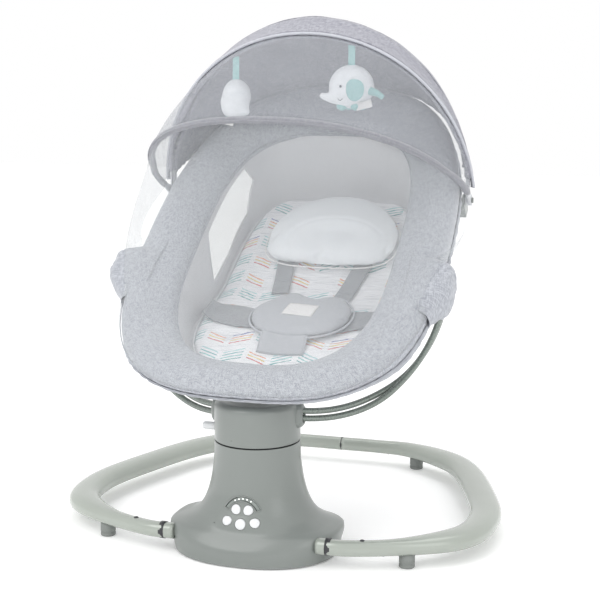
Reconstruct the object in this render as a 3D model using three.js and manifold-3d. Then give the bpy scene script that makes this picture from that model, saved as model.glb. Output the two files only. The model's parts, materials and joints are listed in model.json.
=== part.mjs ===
// Baby swing on a ring base: a pedestal with the drive, a turning head with bent rod arms,
// a reclining fabric seat and a folding canopy. Millimetres, +Z up, the seat's foot end towards -Y.
// The origin is on the floor under the middle of the ring base.
import * as THREE from 'three';
import { mergeVertices } from 'three/addons/utils/BufferGeometryUtils.js';
import Module from 'manifold-3d';

const wasm = await Module();
wasm.setup();

// Driving dimensions
const gap = 0.4;                 // between touching pieces
const axisY = -183;              // swing axis of the drive
const ringHalfWidth = 290;       // ring base, tube centre line
const ringHalfDepth = 242;
const ringMidY = 4;
const ringZ = 28;
const ringTube = 10.5;           // round ends of the ring tubes, radius
const ringFlat = 22;             // half width of the flattened corners
const ringFlatHalf = 13;         // half height there
const ringWall = 1.5;
const ringPlugX = 100;           // where the tubes end inside the pedestal
const footRadius = 10.5;
const neckRadius = 58;
const seamZ = 149;               // top of the fixed pedestal
const pedestalWall = 3;
const apronZ = 36;               // crease between apron and bell
const apronHalf = 116;
const apronFront = 95;
const plateThick = 4;
const padHeight = 2;             // rubber pads under the pedestal
const panelZ = 60;
const panelTilt = 21 * Math.PI / 180;
const buttonRadius = 7.4;
const buttonRise = 1.2;
const buttonDepth = 6.2;
const boardDepth = 8.4;
const shaftRadius = 12;
const shaftFootZ = 44;
const gearModule = 1.5;
const gearTeeth = 48;
const pinionTeeth = 12;
const gearZ = 58;
const gearThick = 8;
const motorRadius = 13;
const motorShaft = 2;
const headTopZ = 205;
const headWall = 3;
const rodRadius = 4.2;
const rodSpacing = 10.2;
const rodZ = 187;
const knobRadius = 5.5;
const knobZ = 162.5;
const pivotY = -98;             // recline axis
const pivotZ = 358;
const pinRadius = 4;
const seatTilt = 36 * Math.PI / 180;
const seatY = 70;
const seatZ = 457;
const rimHalf = 224;             // outer outline of the padded rim
const rimMid = -110;
const rimFoot = 290;
const rimHead = 355;
const bandSide = 75;
const bandFoot = 62;
const bandHead = 95;
const armX = rimHalf + 10.5;     // rods at their top end, beside the rim
const frameTube = 8;
const tubHalf = rimHalf - bandSide + 8;      // the tub tucks in under the rim
const tubFoot = rimFoot - bandFoot - 2;
const tubHead = rimHead - bandHead + 2;
const tubTop = -25;
const tubWall = 3;
const hubS = 17;                 // canopy axis in the seat's plane
const hubN = -19;
const bowRadius = 3;
const tabThick = 2.4;
const clothThick = 2;

const finish = (color, roughness, metalness = 0) => new THREE.MeshStandardMaterial({ color, roughness, metalness });
const plastic = finish(0x949b96, 0.35);
const steelPaint = finish(0xa8b2a8, 0.3, 0.3);
const rodPaint = finish(0x6f7a74, 0.35, 0.4);
const darkPlastic = finish(0x2c2c2e, 0.5);
const lightPlastic = finish(0xd6d8d8, 0.4);
const rubber = finish(0x8b8f8c, 0.8);
const metal = finish(0xb8babd, 0.3, 0.9);
const circuit = finish(0x2e6b45, 0.6);
const heather = finish(0xb9bbc6, 0.95);
const lining = finish(0xb8b8b8, 0.95);
const net = finish(0xe8e8ea, 0.9);
const print = finish(0xf0efee, 0.9);
const plush = finish(0xf2f3f5, 1);
const webbing = finish(0xb0b1b5, 0.9);

// A closed mesh becomes a solid, and a solid becomes geometry again.
function solid(geometry) {
  const bare = geometry.clone();
  bare.deleteAttribute('normal');
  bare.deleteAttribute('uv');
  const merged = mergeVertices(bare, 1e-4);
  const index = merged.index.array;
  const kept = [];
  for (let i = 0; i < index.length; i += 3) {
    const [a, b, c] = [index[i], index[i + 1], index[i + 2]];
    if (a !== b && b !== c && c !== a) kept.push(a, b, c);
  }
  const mesh = new wasm.Mesh({
    numProp: 3, vertProperties: Float32Array.from(merged.attributes.position.array), triVerts: Uint32Array.from(kept),
  });
  return new wasm.Manifold(mesh);
}

function shape(manifold) {
  const mesh = manifold.getMesh();
  const geometry = new THREE.BufferGeometry();
  geometry.setAttribute('position', new THREE.BufferAttribute(Float32Array.from(mesh.vertProperties), 3));
  geometry.setIndex(new THREE.BufferAttribute(Uint32Array.from(mesh.triVerts), 1));
  return geometry;
}

// Rows of points become a surface. wrapRow joins the last row to the first, wrapPoint does so within a row.
function skin(rows, wrapRow = false, wrapPoint = false) {
  const points = rows.flat();
  const size = rows[0].length;
  const index = [];
  for (let i = 0; i < rows.length - (wrapRow ? 0 : 1); i++) {
    for (let j = 0; j < size - (wrapPoint ? 0 : 1); j++) {
      const a = i * size + j;
      const b = i * size + (j + 1) % size;
      const c = ((i + 1) % rows.length) * size + (j + 1) % size;
      const d = ((i + 1) % rows.length) * size + j;
      index.push(a, b, c, a, c, d);
    }
  }
  return { points, index };
}

function geometryOf({ points, index }) {
  const geometry = new THREE.BufferGeometry();
  geometry.setFromPoints(points);
  geometry.setIndex(index);
  return geometry;
}

function volume({ points, index }) {
  let sum = 0;
  for (let i = 0; i < index.length; i += 3) {
    const [a, b, c] = [points[index[i]], points[index[i + 1]], points[index[i + 2]]];
    sum += a.dot(new THREE.Vector3().crossVectors(b, c));
  }
  return sum / 6;
}

function outward(surface) {
  if (volume(surface) < 0) surface.index.reverse();
  return solid(geometryOf(surface));
}

// Closed sections along a path, capped at both ends or joined end to end.
function loft(sections, joined = false) {
  const surface = skin(sections, joined, true);
  if (!joined) {
    const size = sections[0].length;
    const last = (sections.length - 1) * size;
    for (const [start, turned] of [[0, false], [last, true]]) {
      const middle = new THREE.Vector3();
      for (let j = 0; j < size; j++) middle.add(surface.points[start + j]);
      const centre = surface.points.push(middle.divideScalar(size)) - 1;
      for (let j = 0; j < size; j++) {
        const [a, b] = [start + j, start + (j + 1) % size];
        surface.index.push(...(turned ? [a, b, centre] : [b, a, centre]));
      }
    }
  }
  return outward(surface);
}

// An open surface gets a thickness, from low to high along its normals.
function thicken(surface, low, high) {
  const merged = mergeVertices(geometryOf(surface), 1e-3);
  const raw = merged.index.array;
  const index = [];
  for (let i = 0; i < raw.length; i += 3) {
    if (raw[i] !== raw[i + 1] && raw[i + 1] !== raw[i + 2] && raw[i + 2] !== raw[i]) {
      index.push(raw[i], raw[i + 1], raw[i + 2]);
    }
  }
  merged.setIndex(index);
  merged.computeVertexNormals();
  const { position, normal } = merged.attributes;
  const count = position.count;
  const points = [];
  for (const offset of [low, high]) {
    for (let i = 0; i < count; i++) {
      const point = new THREE.Vector3().fromBufferAttribute(position, i);
      points.push(point.addScaledVector(new THREE.Vector3().fromBufferAttribute(normal, i), offset));
    }
  }
  const edges = new Map();
  const all = [];
  for (let i = 0; i < index.length; i += 3) {
    const face = [index[i], index[i + 1], index[i + 2]];
    all.push(face[2], face[1], face[0], face[0] + count, face[1] + count, face[2] + count);
    for (let k = 0; k < 3; k++) {
      const [a, b] = [face[k], face[(k + 1) % 3]];
      const back = `${b},${a}`;
      if (edges.has(back)) edges.delete(back);
      else edges.set(`${a},${b}`, [a, b]);
    }
  }
  for (const [a, b] of edges.values()) all.push(a, b, b + count, a, b + count, a + count);
  return outward({ points, index: all });
}

function tube(curve, steps, sides, radius, joined = false) {
  const frames = curve.computeFrenetFrames(steps, joined);
  const sections = [];
  for (let i = 0; i < steps + (joined ? 0 : 1); i++) {
    const centre = curve.getPoint(i / steps);
    sections.push(circle(sides, (c, s) => centre.clone()
      .addScaledVector(frames.normals[i], radius * c).addScaledVector(frames.binormals[i], radius * s)));
  }
  return loft(sections, joined);
}

function circle(sides, point, phase = 0) {
  return Array.from({ length: sides }, (unused, j) => {
    const angle = phase + j / sides * 2 * Math.PI;
    return point(Math.cos(angle), Math.sin(angle), angle);
  });
}

const v3 = (x, y, z) => new THREE.Vector3(x, y, z);
const power = (value, exponent) => Math.sign(value) * Math.abs(value) ** exponent;
const ease = (t) => t * t * (3 - 2 * t);
const clamp01 = (t) => Math.min(1, Math.max(0, t));

function placed(geometry, x = 0, y = 0, z = 0, rx = 0, ry = 0, rz = 0) {
  const matrix = new THREE.Matrix4().makeRotationFromEuler(new THREE.Euler(rx, ry, rz));
  return solid(geometry.clone().applyMatrix4(matrix.setPosition(x, y, z)));
}

const box = (x0, x1, y0, y1, z0, z1) => placed(new THREE.BoxGeometry(x1 - x0, y1 - y0, z1 - z0),
  (x0 + x1) / 2, (y0 + y1) / 2, (z0 + z1) / 2);
const rodZAxis = (x, y, z0, z1, radius, sides = 24) => placed(
  new THREE.CylinderGeometry(radius, radius, z1 - z0, sides), x, y, (z0 + z1) / 2, Math.PI / 2);
const rodXAxis = (x0, x1, y, z, radius, sides = 24) => placed(
  new THREE.CylinderGeometry(radius, radius, x1 - x0, sides), (x0 + x1) / 2, y, z, 0, 0, Math.PI / 2);
const mirrored = (manifold) => manifold.mirror([1, 0, 0]);

// Ring base
const ringPath = new THREE.CatmullRomCurve3([[0.345, -1], [0.46, -0.998], [0.71, -0.884], [0.948, -0.636], [1, -0.306],
  [0.914, 0.149], [0.7, 0.727], [0.4, 0.975], [0.2, 1], [0.004, 1]].map(([across, along]) =>
  v3(ringHalfWidth * across, ringMidY + ringHalfDepth * along, ringZ)), false, 'centripetal');

function ringSize(t) {
  const flat = ease(clamp01((t - 0.1) / 0.16)) * ease(clamp01((0.93 - t) / 0.2));
  return [ringTube + (ringFlat - ringTube) * flat, ringTube + (ringFlatHalf - ringTube) * flat];
}

function ringTubeRight() {
  const steps = 22;
  const layers = [[], []];
  for (let i = 0; i <= steps; i++) {
    const centre = ringPath.getPointAt(i / steps);
    const tangent = ringPath.getTangentAt(i / steps);
    const across = v3(tangent.y, -tangent.x, 0).normalize();
    const [wide, high] = ringSize(i / steps);
    for (const [layer, wall] of [[layers[0], 0], [layers[1], ringWall]]) {
      layer.push(circle(10, (c, s) => centre.clone().addScaledVector(across, (wide - wall) * power(c, 0.85))
        .add(v3(0, 0, (high - wall) * power(s, 0.85)))));
    }
  }
  return loft([...layers[0], ...layers[1].reverse()], true);
}

function ringCoupler() {
  const y = ringMidY + ringHalfDepth;
  return rodXAxis(-40, 40, y, ringZ, ringTube - ringWall - gap - 0.4, 16);
}

function foot(t, side) {
  const centre = ringPath.getPointAt(t);
  const top = ringZ - ringSize(t)[1] - gap;
  const profile = [[0, 0], [footRadius - 1.5, 0], [footRadius, 1.5], [footRadius, top - 2], [footRadius - 1, top], [0, top]];
  const lathe = new THREE.LatheGeometry(profile.map(([r, z]) => new THREE.Vector2(r, z)), 16);
  return placed(lathe, side * centre.x, centre.y, 0, Math.PI / 2);
}

// Pedestal: plan sections from the floor up, as half width, reach to the front, reach to the back, squareness
const pedestalLevels = [
  [padHeight, apronHalf - 3, apronFront, 64, 2.25], [20, apronHalf, apronFront - 3, 66, 2.4],
  [apronZ - 6, apronHalf + 2, apronFront - 10, 66, 2.7], [apronZ + 2, apronHalf + 1, apronFront - 17, 65, 2.8],
  [apronZ + 6, apronHalf - 13, apronFront - 20, 64, 2.5],
  ...[[52, 0.448, 0.392, 63, 2.2], [66, 0.259, 0.216, 62, 2.1], [85, 0.138, 0.068, 60, 2], [105, 0.06, 0.016, 58.5, 2],
    [128, 0.01, 0, 58, 2], [seamZ, 0, 0, 58, 2]].map(([z, wide, front, back, square]) => [z,
    neckRadius + wide * (apronHalf - neckRadius), neckRadius + front * (apronFront - neckRadius),
    neckRadius + back - 58, square]),
];

function pedestalSection(level, inset, z = level[0]) {
  const [, half, front, back, square] = level;
  return circle(28, (c, s) => v3((half - inset) * power(c, 2 / square),
    axisY + ((s < 0 ? front : back) - inset) * power(s, 2 / square), z));
}

function pedestalSolid(inset, low = padHeight, high = seamZ) {
  const levels = pedestalLevels.slice(1, -1).map((level) => pedestalSection(level, inset));
  return loft([pedestalSection(pedestalLevels[0], inset, low), ...levels, pedestalSection(pedestalLevels.at(-1), inset, high)]);
}

const panelFrame = new THREE.Matrix4().makeRotationX(Math.PI / 2 - panelTilt)
  .setPosition(0, axisY - neckRadius - 0.297 * (apronFront - neckRadius), panelZ);

function panelPrism(outline, near, far) {
  const extrude = new THREE.ExtrudeGeometry(outline, { depth: far + near, bevelEnabled: false, curveSegments: 10 });
  return solid(extrude.translate(0, 0, -far).applyMatrix4(panelFrame));
}

// Five petals round a small flower, as angle, reach and squash
const petals = [['top_left', 128, 13, 0.2], ['top_right', 52, 13, 0.2], ['right', -14, 19, 0.25],
  ['centre', -90, 8, 0], ['left', 194, 19, 0.25]];

function petalShape([, degrees, reach, squash], grow) {
  const angle = degrees * Math.PI / 180;
  const radius = buttonRadius + grow;
  const outline = circle(14, (c, s, turn) => {
    const along = radius * (c > 0 ? 1 : 1 - squash) * c;
    const across = radius * (1 - squash * 0.5 * (1 - c) * 0.5) * Math.sin(turn);
    const x = (reach + along) * Math.cos(angle) - across * Math.sin(angle);
    return new THREE.Vector2(x, (reach + along) * Math.sin(angle) + across * Math.cos(angle));
  });
  return new THREE.Shape(outline);
}

function windowShape(grow) {
  const arch = new THREE.Shape();
  const [inner, outer] = [22.5 - grow, 27.5 + grow];
  const reach = (62 + grow * 2) * Math.PI / 180;
  arch.absarc(0, 0, outer, Math.PI / 2 - reach, Math.PI / 2 + reach, false);
  arch.absarc(0, 0, inner, Math.PI / 2 + reach, Math.PI / 2 - reach, true);
  return arch;
}

function petalButton(petal) {
  return panelPrism(petalShape(petal, 0), 20, buttonDepth).intersect(pedestalSolid(-buttonRise));
}

function displayWindow() {
  return panelPrism(windowShape(0), 20, 30).intersect(pedestalSolid(0.8)).subtract(pedestalSolid(pedestalWall - 0.6));
}

function pedestalShell() {
  let shell = pedestalSolid(0).subtract(pedestalSolid(pedestalWall, padHeight - 1, seamZ + 1));
  for (const petal of petals) shell = shell.subtract(panelPrism(petalShape(petal, gap), 30, 30));
  shell = shell.subtract(panelPrism(windowShape(gap), 30, 30));
  const frontY = ringMidY - ringHalfDepth;
  for (const side of [-1, 1]) {
    const [near, far] = side < 0 ? [-ringPlugX - 60, -80] : [80, ringPlugX + 60];
    shell = shell.subtract(rodXAxis(near, far, frontY, ringZ, ringTube + gap + 0.3, 24));
  }
  return shell.subtract(jackBlock(gap));
}

function basePlate() {
  const top = padHeight + plateThick;
  const outline = pedestalSection(pedestalLevels[0], pedestalWall + gap + 0.4, padHeight + 0.4);
  return loft([outline, outline.map((point) => v3(point.x, point.y, top))]);
}

function rubberPad(side) {
  return rodZAxis(side * 70, axisY - 10, 0, padHeight, 14, 24);
}

function jackBlock(grow) {
  const y = axisY + 66;
  return box(30 - grow, 42 + grow, y - 14, y + 6, 14 - grow, 24 + grow);
}

function dcJack() {
  const hole = placed(new THREE.CylinderGeometry(3, 3, 12, 16), 36, axisY + 62, 19);
  return jackBlock(0).intersect(pedestalSolid(0.6)).subtract(hole);
}

function controlBoard() {
  return solid(new THREE.BoxGeometry(56, 40, 1.6).translate(0, 4, -boardDepth - 0.8).applyMatrix4(panelFrame));
}

function speaker() {
  const z = padHeight + plateThick + gap;
  return rodZAxis(-45, axisY - 20, z, z + 9, 16, 24);
}

// Drive
const centreDistance = gearModule * (gearTeeth + pinionTeeth) / 2;
const motorY = axisY + centreDistance;
const deckZ = gearZ - 8;

function involute(teeth, count, first, bore, backlash) {
  const pitch = gearModule * teeth / 2;
  const base = pitch * Math.cos(20 * Math.PI / 180);
  const tip = pitch + gearModule * 0.92;
  const root = pitch - gearModule * 1.2;
  const roll = (radius) => {
    const angle = Math.acos(Math.min(1, base / radius));
    return Math.tan(angle) - angle;
  };
  const halfTooth = Math.PI / 2 / teeth - backlash / pitch;
  const points = [];
  const push = (radius, angle) => points.push(new THREE.Vector2(radius * Math.cos(angle), radius * Math.sin(angle)));
  for (let k = 0; k < count; k++) {
    const centre = first + k / teeth * 2 * Math.PI;
    const radii = [Math.max(root, base), pitch, tip];
    push(root, centre - halfTooth - roll(pitch) - 0.02);
    for (const radius of radii) push(radius, centre - halfTooth - roll(pitch) + roll(radius));
    for (const radius of radii.reverse()) push(radius, centre + halfTooth + roll(pitch) - roll(radius));
    push(root, centre + halfTooth + roll(pitch) + 0.02);
  }
  const outline = new THREE.Shape();
  if (count < teeth) {
    const lastAngle = first + (count - 1) / teeth * 2 * Math.PI + Math.PI / teeth;
    push(root, lastAngle);
    outline.setFromPoints([...points,
      ...circle(18, (c, s, turn) => {
        const angle = lastAngle + 0.35 + turn / (2 * Math.PI) * (2 * Math.PI - (lastAngle - first) - 0.9);
        return new THREE.Vector2((bore + 6) * Math.cos(angle), (bore + 6) * Math.sin(angle));
      })]);
  } else {
    outline.setFromPoints(points);
  }
  const wheel = solid(new THREE.ExtrudeGeometry(outline, { depth: gearThick, bevelEnabled: false }));
  return wheel.subtract(rodZAxis(0, 0, -1, gearThick + 1, bore, 20));
}

function sectorGear() {
  const count = 9;
  const first = Math.PI / 2 - (count - 1) / 2 / gearTeeth * 2 * Math.PI;
  return involute(gearTeeth, count, first, shaftRadius + gap, 0.12).translate([0, axisY, gearZ]);
}

function motorPinion() {
  const first = -Math.PI / 2 + Math.PI / pinionTeeth;
  return involute(pinionTeeth, pinionTeeth, first, motorShaft + gap, 0.12).translate([0, motorY, gearZ]);
}

function driveMotor() {
  const low = padHeight + plateThick + gap;
  return rodZAxis(0, motorY, low, deckZ - gap, motorRadius, 24)
    .add(rodZAxis(0, motorY, deckZ - 1, gearZ + gearThick + 1, motorShaft, 16));
}

function gearDeck() {
  return rodZAxis(0, axisY, deckZ, deckZ + 4, 56, 32)
    .subtract(rodZAxis(0, axisY, deckZ - 1, deckZ + 5, shaftRadius + gap, 24))
    .subtract(rodZAxis(0, motorY, deckZ - 1, deckZ + 5, motorShaft + gap, 16));
}

function turretBearing() {
  return rodZAxis(0, axisY, seamZ - 14, seamZ - 4, neckRadius - pedestalWall - 0.8, 32)
    .subtract(rodZAxis(0, axisY, seamZ - 20, seamZ, shaftRadius + gap, 24));
}

function turretShaft() {
  return rodZAxis(0, axisY, shaftFootZ, rodZ - 12.4, shaftRadius, 24)
    .subtract(rodZAxis(0, axisY, shaftFootZ - 1, rodZ, shaftRadius - 3, 16));
}

// Head and arms
function headSolid(inset) {
  const low = inset ? seamZ - 2 : seamZ + 2.2;
  const rings = [[low, 0], [headTopZ - 9, 0], [headTopZ - 3, 2.5], [headTopZ, 8]];
  return loft(rings.map(([z, round]) => circle(28, (c, s) => v3((neckRadius - inset - round) * c,
    axisY + (neckRadius - inset - round) * s, z - (z > seamZ + 3 ? inset : 0)))));
}

function headShell() {
  let shell = headSolid(0).subtract(headSolid(headWall));
  const slot = rodSpacing / 2 + rodRadius + 1;
  shell = shell.subtract(box(-80, 80, axisY - 3, axisY + 9, rodZ - slot, rodZ + slot));
  return shell.subtract(rodXAxis(-80, -30, axisY, knobZ, knobRadius + gap, 20));
}

function armBlock() {
  return box(-36, 36, axisY - 12, axisY + 14, rodZ - 12, rodZ + 12);
}

function releaseKnob() {
  const radii = [[-47, knobRadius], [-75, knobRadius], [-77.5, knobRadius - 1.5], [-78.5, knobRadius - 3.5]];
  return loft(radii.map(([x, r]) => circle(20, (c, s) => v3(x, axisY + r * c, knobZ + r * s))));
}

const armPath = new THREE.CurvePath();
armPath.add(new THREE.LineCurve3(v3(36.5, axisY + 3, rodZ), v3(60, axisY + 3, rodZ)));
armPath.add(new THREE.CubicBezierCurve3(v3(60, axisY + 3, rodZ), v3(armX - 66, axisY + 74, rodZ - 18),
  v3(armX - 11, pivotY + 34, pivotZ - 90), v3(armX, pivotY, pivotZ - 17)));

function armRod(upper) {
  const steps = 18;
  const sections = [];
  for (let i = 0; i <= steps; i++) {
    const t = i / steps;
    const centre = armPath.getPointAt(t);
    const tangent = armPath.getTangentAt(t);
    const turn = ease(clamp01(t * 1.15));
    const apart = v3(0, turn, 1 - turn).addScaledVector(tangent, -v3(0, turn, 1 - turn).dot(tangent)).normalize();
    const side = v3(0, 0, 0).crossVectors(tangent, apart);
    centre.addScaledVector(apart, (upper ? 1 : -1) * rodSpacing / 2);
    sections.push(circle(8, (c, s) => centre.clone().addScaledVector(apart, rodRadius * c)
      .addScaledVector(side, rodRadius * s)));
  }
  return loft(sections);
}

function armBracket() {
  return box(armX - 5, armX + 5, pivotY - 11, pivotY + 11, pivotZ - 13, pivotZ + 12)
    .subtract(rodXAxis(armX - 8, armX + 8, pivotY, pivotZ, pinRadius + gap, 16));
}

// Seat, in its own plane: x across, y up the slope, z out of the plane
function oval(half, foot, head, squareFoot, squareHead, angle) {
  const [c, s] = [Math.cos(angle), Math.sin(angle)];
  const square = s < 0 ? squareFoot : squareHead;
  return v3(half * power(c, 2 / square), rimMid + (s < 0 ? foot : head) * power(s, 2 / square), 0);
}

const rimOuter = (angle) => oval(rimHalf, rimFoot, rimHead, 3, 2.6, angle);
const rimInner = (angle) => oval(rimHalf - bandSide, rimFoot - bandFoot, rimHead - bandHead, 3, 3.3, angle);

function rimSections(points, steps = 32) {
  return Array.from({ length: steps }, (unused, i) => {
    const angle = i / steps * 2 * Math.PI;
    const outer = rimOuter(angle);
    const inward = rimInner(angle).sub(outer);
    const width = inward.length();
    inward.normalize();
    return points(width).map(([u, n]) => outer.clone().addScaledVector(inward, u).setZ(n));
  });
}

const frameU = 22;               // frame tube from the rim's outer edge

function rimBumper() {
  const r = frameTube + gap + 0.3;
  const groove = [[frameU + r, -2], [frameU + r * 0.7, r * 0.72], [frameU, r], [frameU - r * 0.7, r * 0.72], [frameU - r, -2]];
  const ring = loft(rimSections((width) => [[frameU - r, -23], [5, -20], [0, -4], [3, 12], [13, 21], [28, 24],
    [width * 0.6, 18], [width - 8, 5], [width, -8], [width - 7, -18], [frameU + r, -20], ...groove]), true);
  return ring.subtract(hubBlock(0.6)).subtract(mirrored(hubBlock(0.6)));
}

function seatFrame() {
  return loft(rimSections(() => circle(8, (c, s) => [frameU + frameTube * c, frameTube * s])), true);
}

const hubPoint = v3(0, pivotY - seatY, pivotZ - seatZ).applyAxisAngle(v3(1, 0, 0), -seatTilt);

function hubBlock(grow) {
  const inner = rimHalf - frameU - 2;
  return box(inner - grow, rimHalf + 2 + grow * 3, hubPoint.y - 9 - grow, hubPoint.y + 9 + grow,
    frameTube + gap + 0.4 - grow, hubPoint.z + 7 + grow * 8);
}

function seatHub() {
  return hubBlock(0).add(rodXAxis(rimHalf + 1, armX - 5.6, hubPoint.y, hubPoint.z, 12, 24))
    .add(rodXAxis(rimHalf, armX + 4, hubPoint.y, hubPoint.z, pinRadius, 16));
}

const floorProfile = new THREE.SplineCurve([[-345, -46], [-266, -65], [-192, -87], [-106, -118], [0, -127], [100, -130],
  [170, -130]].map(([s, n]) => new THREE.Vector2(s, n)));
const floorTable = floorProfile.getPoints(60);

function floorZ(s) {
  const at = floorTable.findIndex((point) => point.x >= s);
  if (at <= 0) return floorTable.at(at).y;
  const [a, b] = [floorTable[at - 1], floorTable[at]];
  return a.y + (b.y - a.y) * (s - a.x) / (b.x - a.x);
}

function tubPoint(angle, share, lift = 0) {
  const point = oval(tubHalf * share, tubFoot * share, tubHead * share, 3.4, 4, angle);
  const depth = 1 - clamp01((share - 0.93) / 0.07) ** 2.2;
  return point.setZ(tubTop * (1 - depth) + floorZ(point.y) * depth + lift);
}

function seatTub() {
  const rows = [1, 0.993, 0.975, 0.95, 0.91, 0.62, 0.3].map((share) =>
    Array.from({ length: 32 }, (unused, i) => tubPoint(i / 32 * 2 * Math.PI, share)));
  rows.push(rows[0].map(() => tubPoint(0, 1e-6)));
  return thicken(skin(rows, false, true), -tubWall, 0);
}

function windowPrism(inset, side) {
  const corners = [[-85, -84], [-62, -40], [92, -40], [100, -66], [58, -106], [-30, -104]];
  const centre = new THREE.Vector2(10, -75);
  const outline = corners.map(([s, n]) => new THREE.Vector2(s, n).sub(centre));
  const shrunk = outline.map((point) => point.clone().multiplyScalar(1 - inset / point.length()).add(centre));
  const extrude = new THREE.ExtrudeGeometry(new THREE.Shape(shrunk), { depth: 80, bevelEnabled: false });
  const turn = new THREE.Matrix4().makeBasis(v3(0, 1, 0), v3(0, 0, 1), v3(1, 0, 0));
  const near = tubHalf - 57;
  return solid(extrude.applyMatrix4(turn.setPosition(side < 0 ? -near - 80 : near, 0, 0)));
}

// A cloth or pad lying over the seat's floor, from left to right edge at each place along the slope
function overFloor(edges, low, high, across = 8) {
  const rows = edges.map(([s, left, right, rise = 0]) => Array.from({ length: across + 1 }, (unused, j) => {
    const x = left + (right - left) * j / across;
    return v3(x, s, floorZ(s) + rise);
  }));
  return thicken(skin(rows), low, high);
}

function evenly(from, to, count, row) {
  return Array.from({ length: count + 1 }, (unused, i) => row(from + (to - from) * i / count, i / count));
}

const round = (t, power4 = 4) => (1 - Math.abs(2 * t - 1) ** power4) ** (1 / power4);

const padLow = 4;
const padHigh = 15;
const strapLow = padHigh + 1;
const strapHigh = strapLow + 2.5;
const harnessLow = strapHigh + 1;

function seatPad() {
  return overFloor(evenly(-298, 118, 12, (s, t) => {
    const half = (tubHalf - 19 - 6 * Math.abs(s + 110) / 200) * Math.max(0.7, round(t, 6));
    return [s, -half, half];
  }), padLow, padHigh);
}

function headPillow() {
  return overFloor(evenly(-42, 112, 10, (s, t) => {
    const half = 106 * Math.max(0.55, round(t, 2.6));
    return [s, -half, half];
  }), harnessLow, harnessLow + 32);
}

function harnessPad() {
  return overFloor(evenly(-276, -122, 14, (s) => {
    const wing = s > -246 ? 84 * Math.sqrt(Math.max(0, 1 - ((s + 184) / 66) ** 2)) : 0;
    const half = Math.max(32, wing);
    return [s, -half, half];
  }), harnessLow, harnessLow + 9, 6);
}

function shoulderStrap() {
  return overFloor(evenly(-136, 12, 6, (s, t) => {
    const x = 56 + 18 * t;
    return [s, x - 13, x + 13];
  }), strapLow, strapHigh, 2);
}

function waistStrap() {
  const reach = [[tubHalf - 25, 6], [110, 1], [85, 0], [60, 0]];
  const rows = reach.map(([x, rise]) => [-218, -200, -182].map((s) => v3(x, s, floorZ(s) + rise)));
  return thicken(skin(rows), strapLow, strapHigh);
}

function carrierPlate() {
  return overFloor(evenly(-300, -226, 3, (s) => [s, -60, 60]), -tubWall - 14, -tubWall - 7, 4);
}

// Canopy, about an axis across the seat
const bows = {
  rear: { half: rimHalf + 2, reach: 253, square: 2, degrees: 123, tab: 0 },
  mid: { half: rimHalf + 9, reach: 242, square: 2.05, degrees: 112, tab: 1 },
  front: { half: rimHalf + 6, reach: 300, square: 2.26, degrees: 60.4, tab: 2 },
};

function bowPoint({ half, reach, square, degrees }, angle, grow = 0, turn = 0) {
  const out = (reach + grow) * Math.sin(angle) ** (2 / square);
  const direction = (degrees + turn) * Math.PI / 180;
  return v3((half + grow) * power(Math.cos(angle), 2 / square), hubS - out * Math.cos(direction),
    hubN + out * Math.sin(direction));
}

const tabX = (tab) => rimHalf + 2 + tab * (tabThick + gap);
const tabReach = 44;

function bowTab(bow, side) {
  const x0 = tabX(bow.tab);
  const plate = new THREE.Shape();
  plate.absarc(0, 0, 8, Math.PI / 2, Math.PI * 1.5, false);
  plate.lineTo(tabReach, -2.6);
  plate.lineTo(tabReach, 2.6);
  const extrude = new THREE.ExtrudeGeometry(plate, { depth: tabThick, bevelEnabled: false, curveSegments: 5 });
  const turn = new THREE.Matrix4().makeBasis(v3(0, 1, 0), v3(0, 0, 1), v3(1, 0, 0));
  const lean = new THREE.Matrix4().makeRotationX(Math.PI - bow.degrees * Math.PI / 180);
  const tab = solid(extrude.applyMatrix4(turn).applyMatrix4(lean.setPosition(x0, hubS, hubN)))
    .subtract(rodXAxis(x0 - 1, x0 + tabThick + 1, hubS, hubN, pinRadius + gap, 12));
  return side < 0 ? mirrored(tab) : tab;
}

function canopyBow(bow) {
  const steps = 30;
  const start = Math.asin(((tabReach - 10) / bow.reach) ** (bow.square / 2));
  const points = Array.from({ length: steps + 1 }, (unused, i) => {
    const point = bowPoint(bow, start + i / steps * (Math.PI - 2 * start));
    const near = clamp01((1 - Math.abs(2 * i / steps - 1)) * steps / 6);
    const wide = tabX(bow.tab) + tabThick / 2;
    point.x = Math.sign(point.x) * (wide + (Math.abs(point.x) - wide) * ease(near));
    return point;
  });
  const curve = new THREE.CatmullRomCurve3(points, false, 'centripetal');
  return tube(curve, 28, 6, bowRadius).add(bowTab(bow, 1)).add(bowTab(bow, -1));
}

function canopyHub() {
  const inner = rimHalf - frameU - 2;
  const block = box(inner, rimHalf + 1, hubS - 9, hubS + 9, -23 - 22, -23 - gap)
    .add(rodXAxis(rimHalf - 3, rimHalf + 1, hubS, hubN - 4, 12, 20));
  return block.add(rodXAxis(rimHalf - 3, tabX(3) + 2, hubS, hubN, pinRadius, 16));
}

const clothSteps = 24;

function clothRow(at) {
  return Array.from({ length: clothSteps + 1 }, (unused, i) => at(0.2 + i / clothSteps * (Math.PI - 0.4), i / clothSteps));
}

function rimRow(angle, grow, lift) {
  const outer = rimOuter(angle);
  const centre = v3(0, rimMid, 0);
  const away = outer.clone().sub(centre).normalize();
  return outer.addScaledVector(away, grow).setZ(lift);
}

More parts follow.
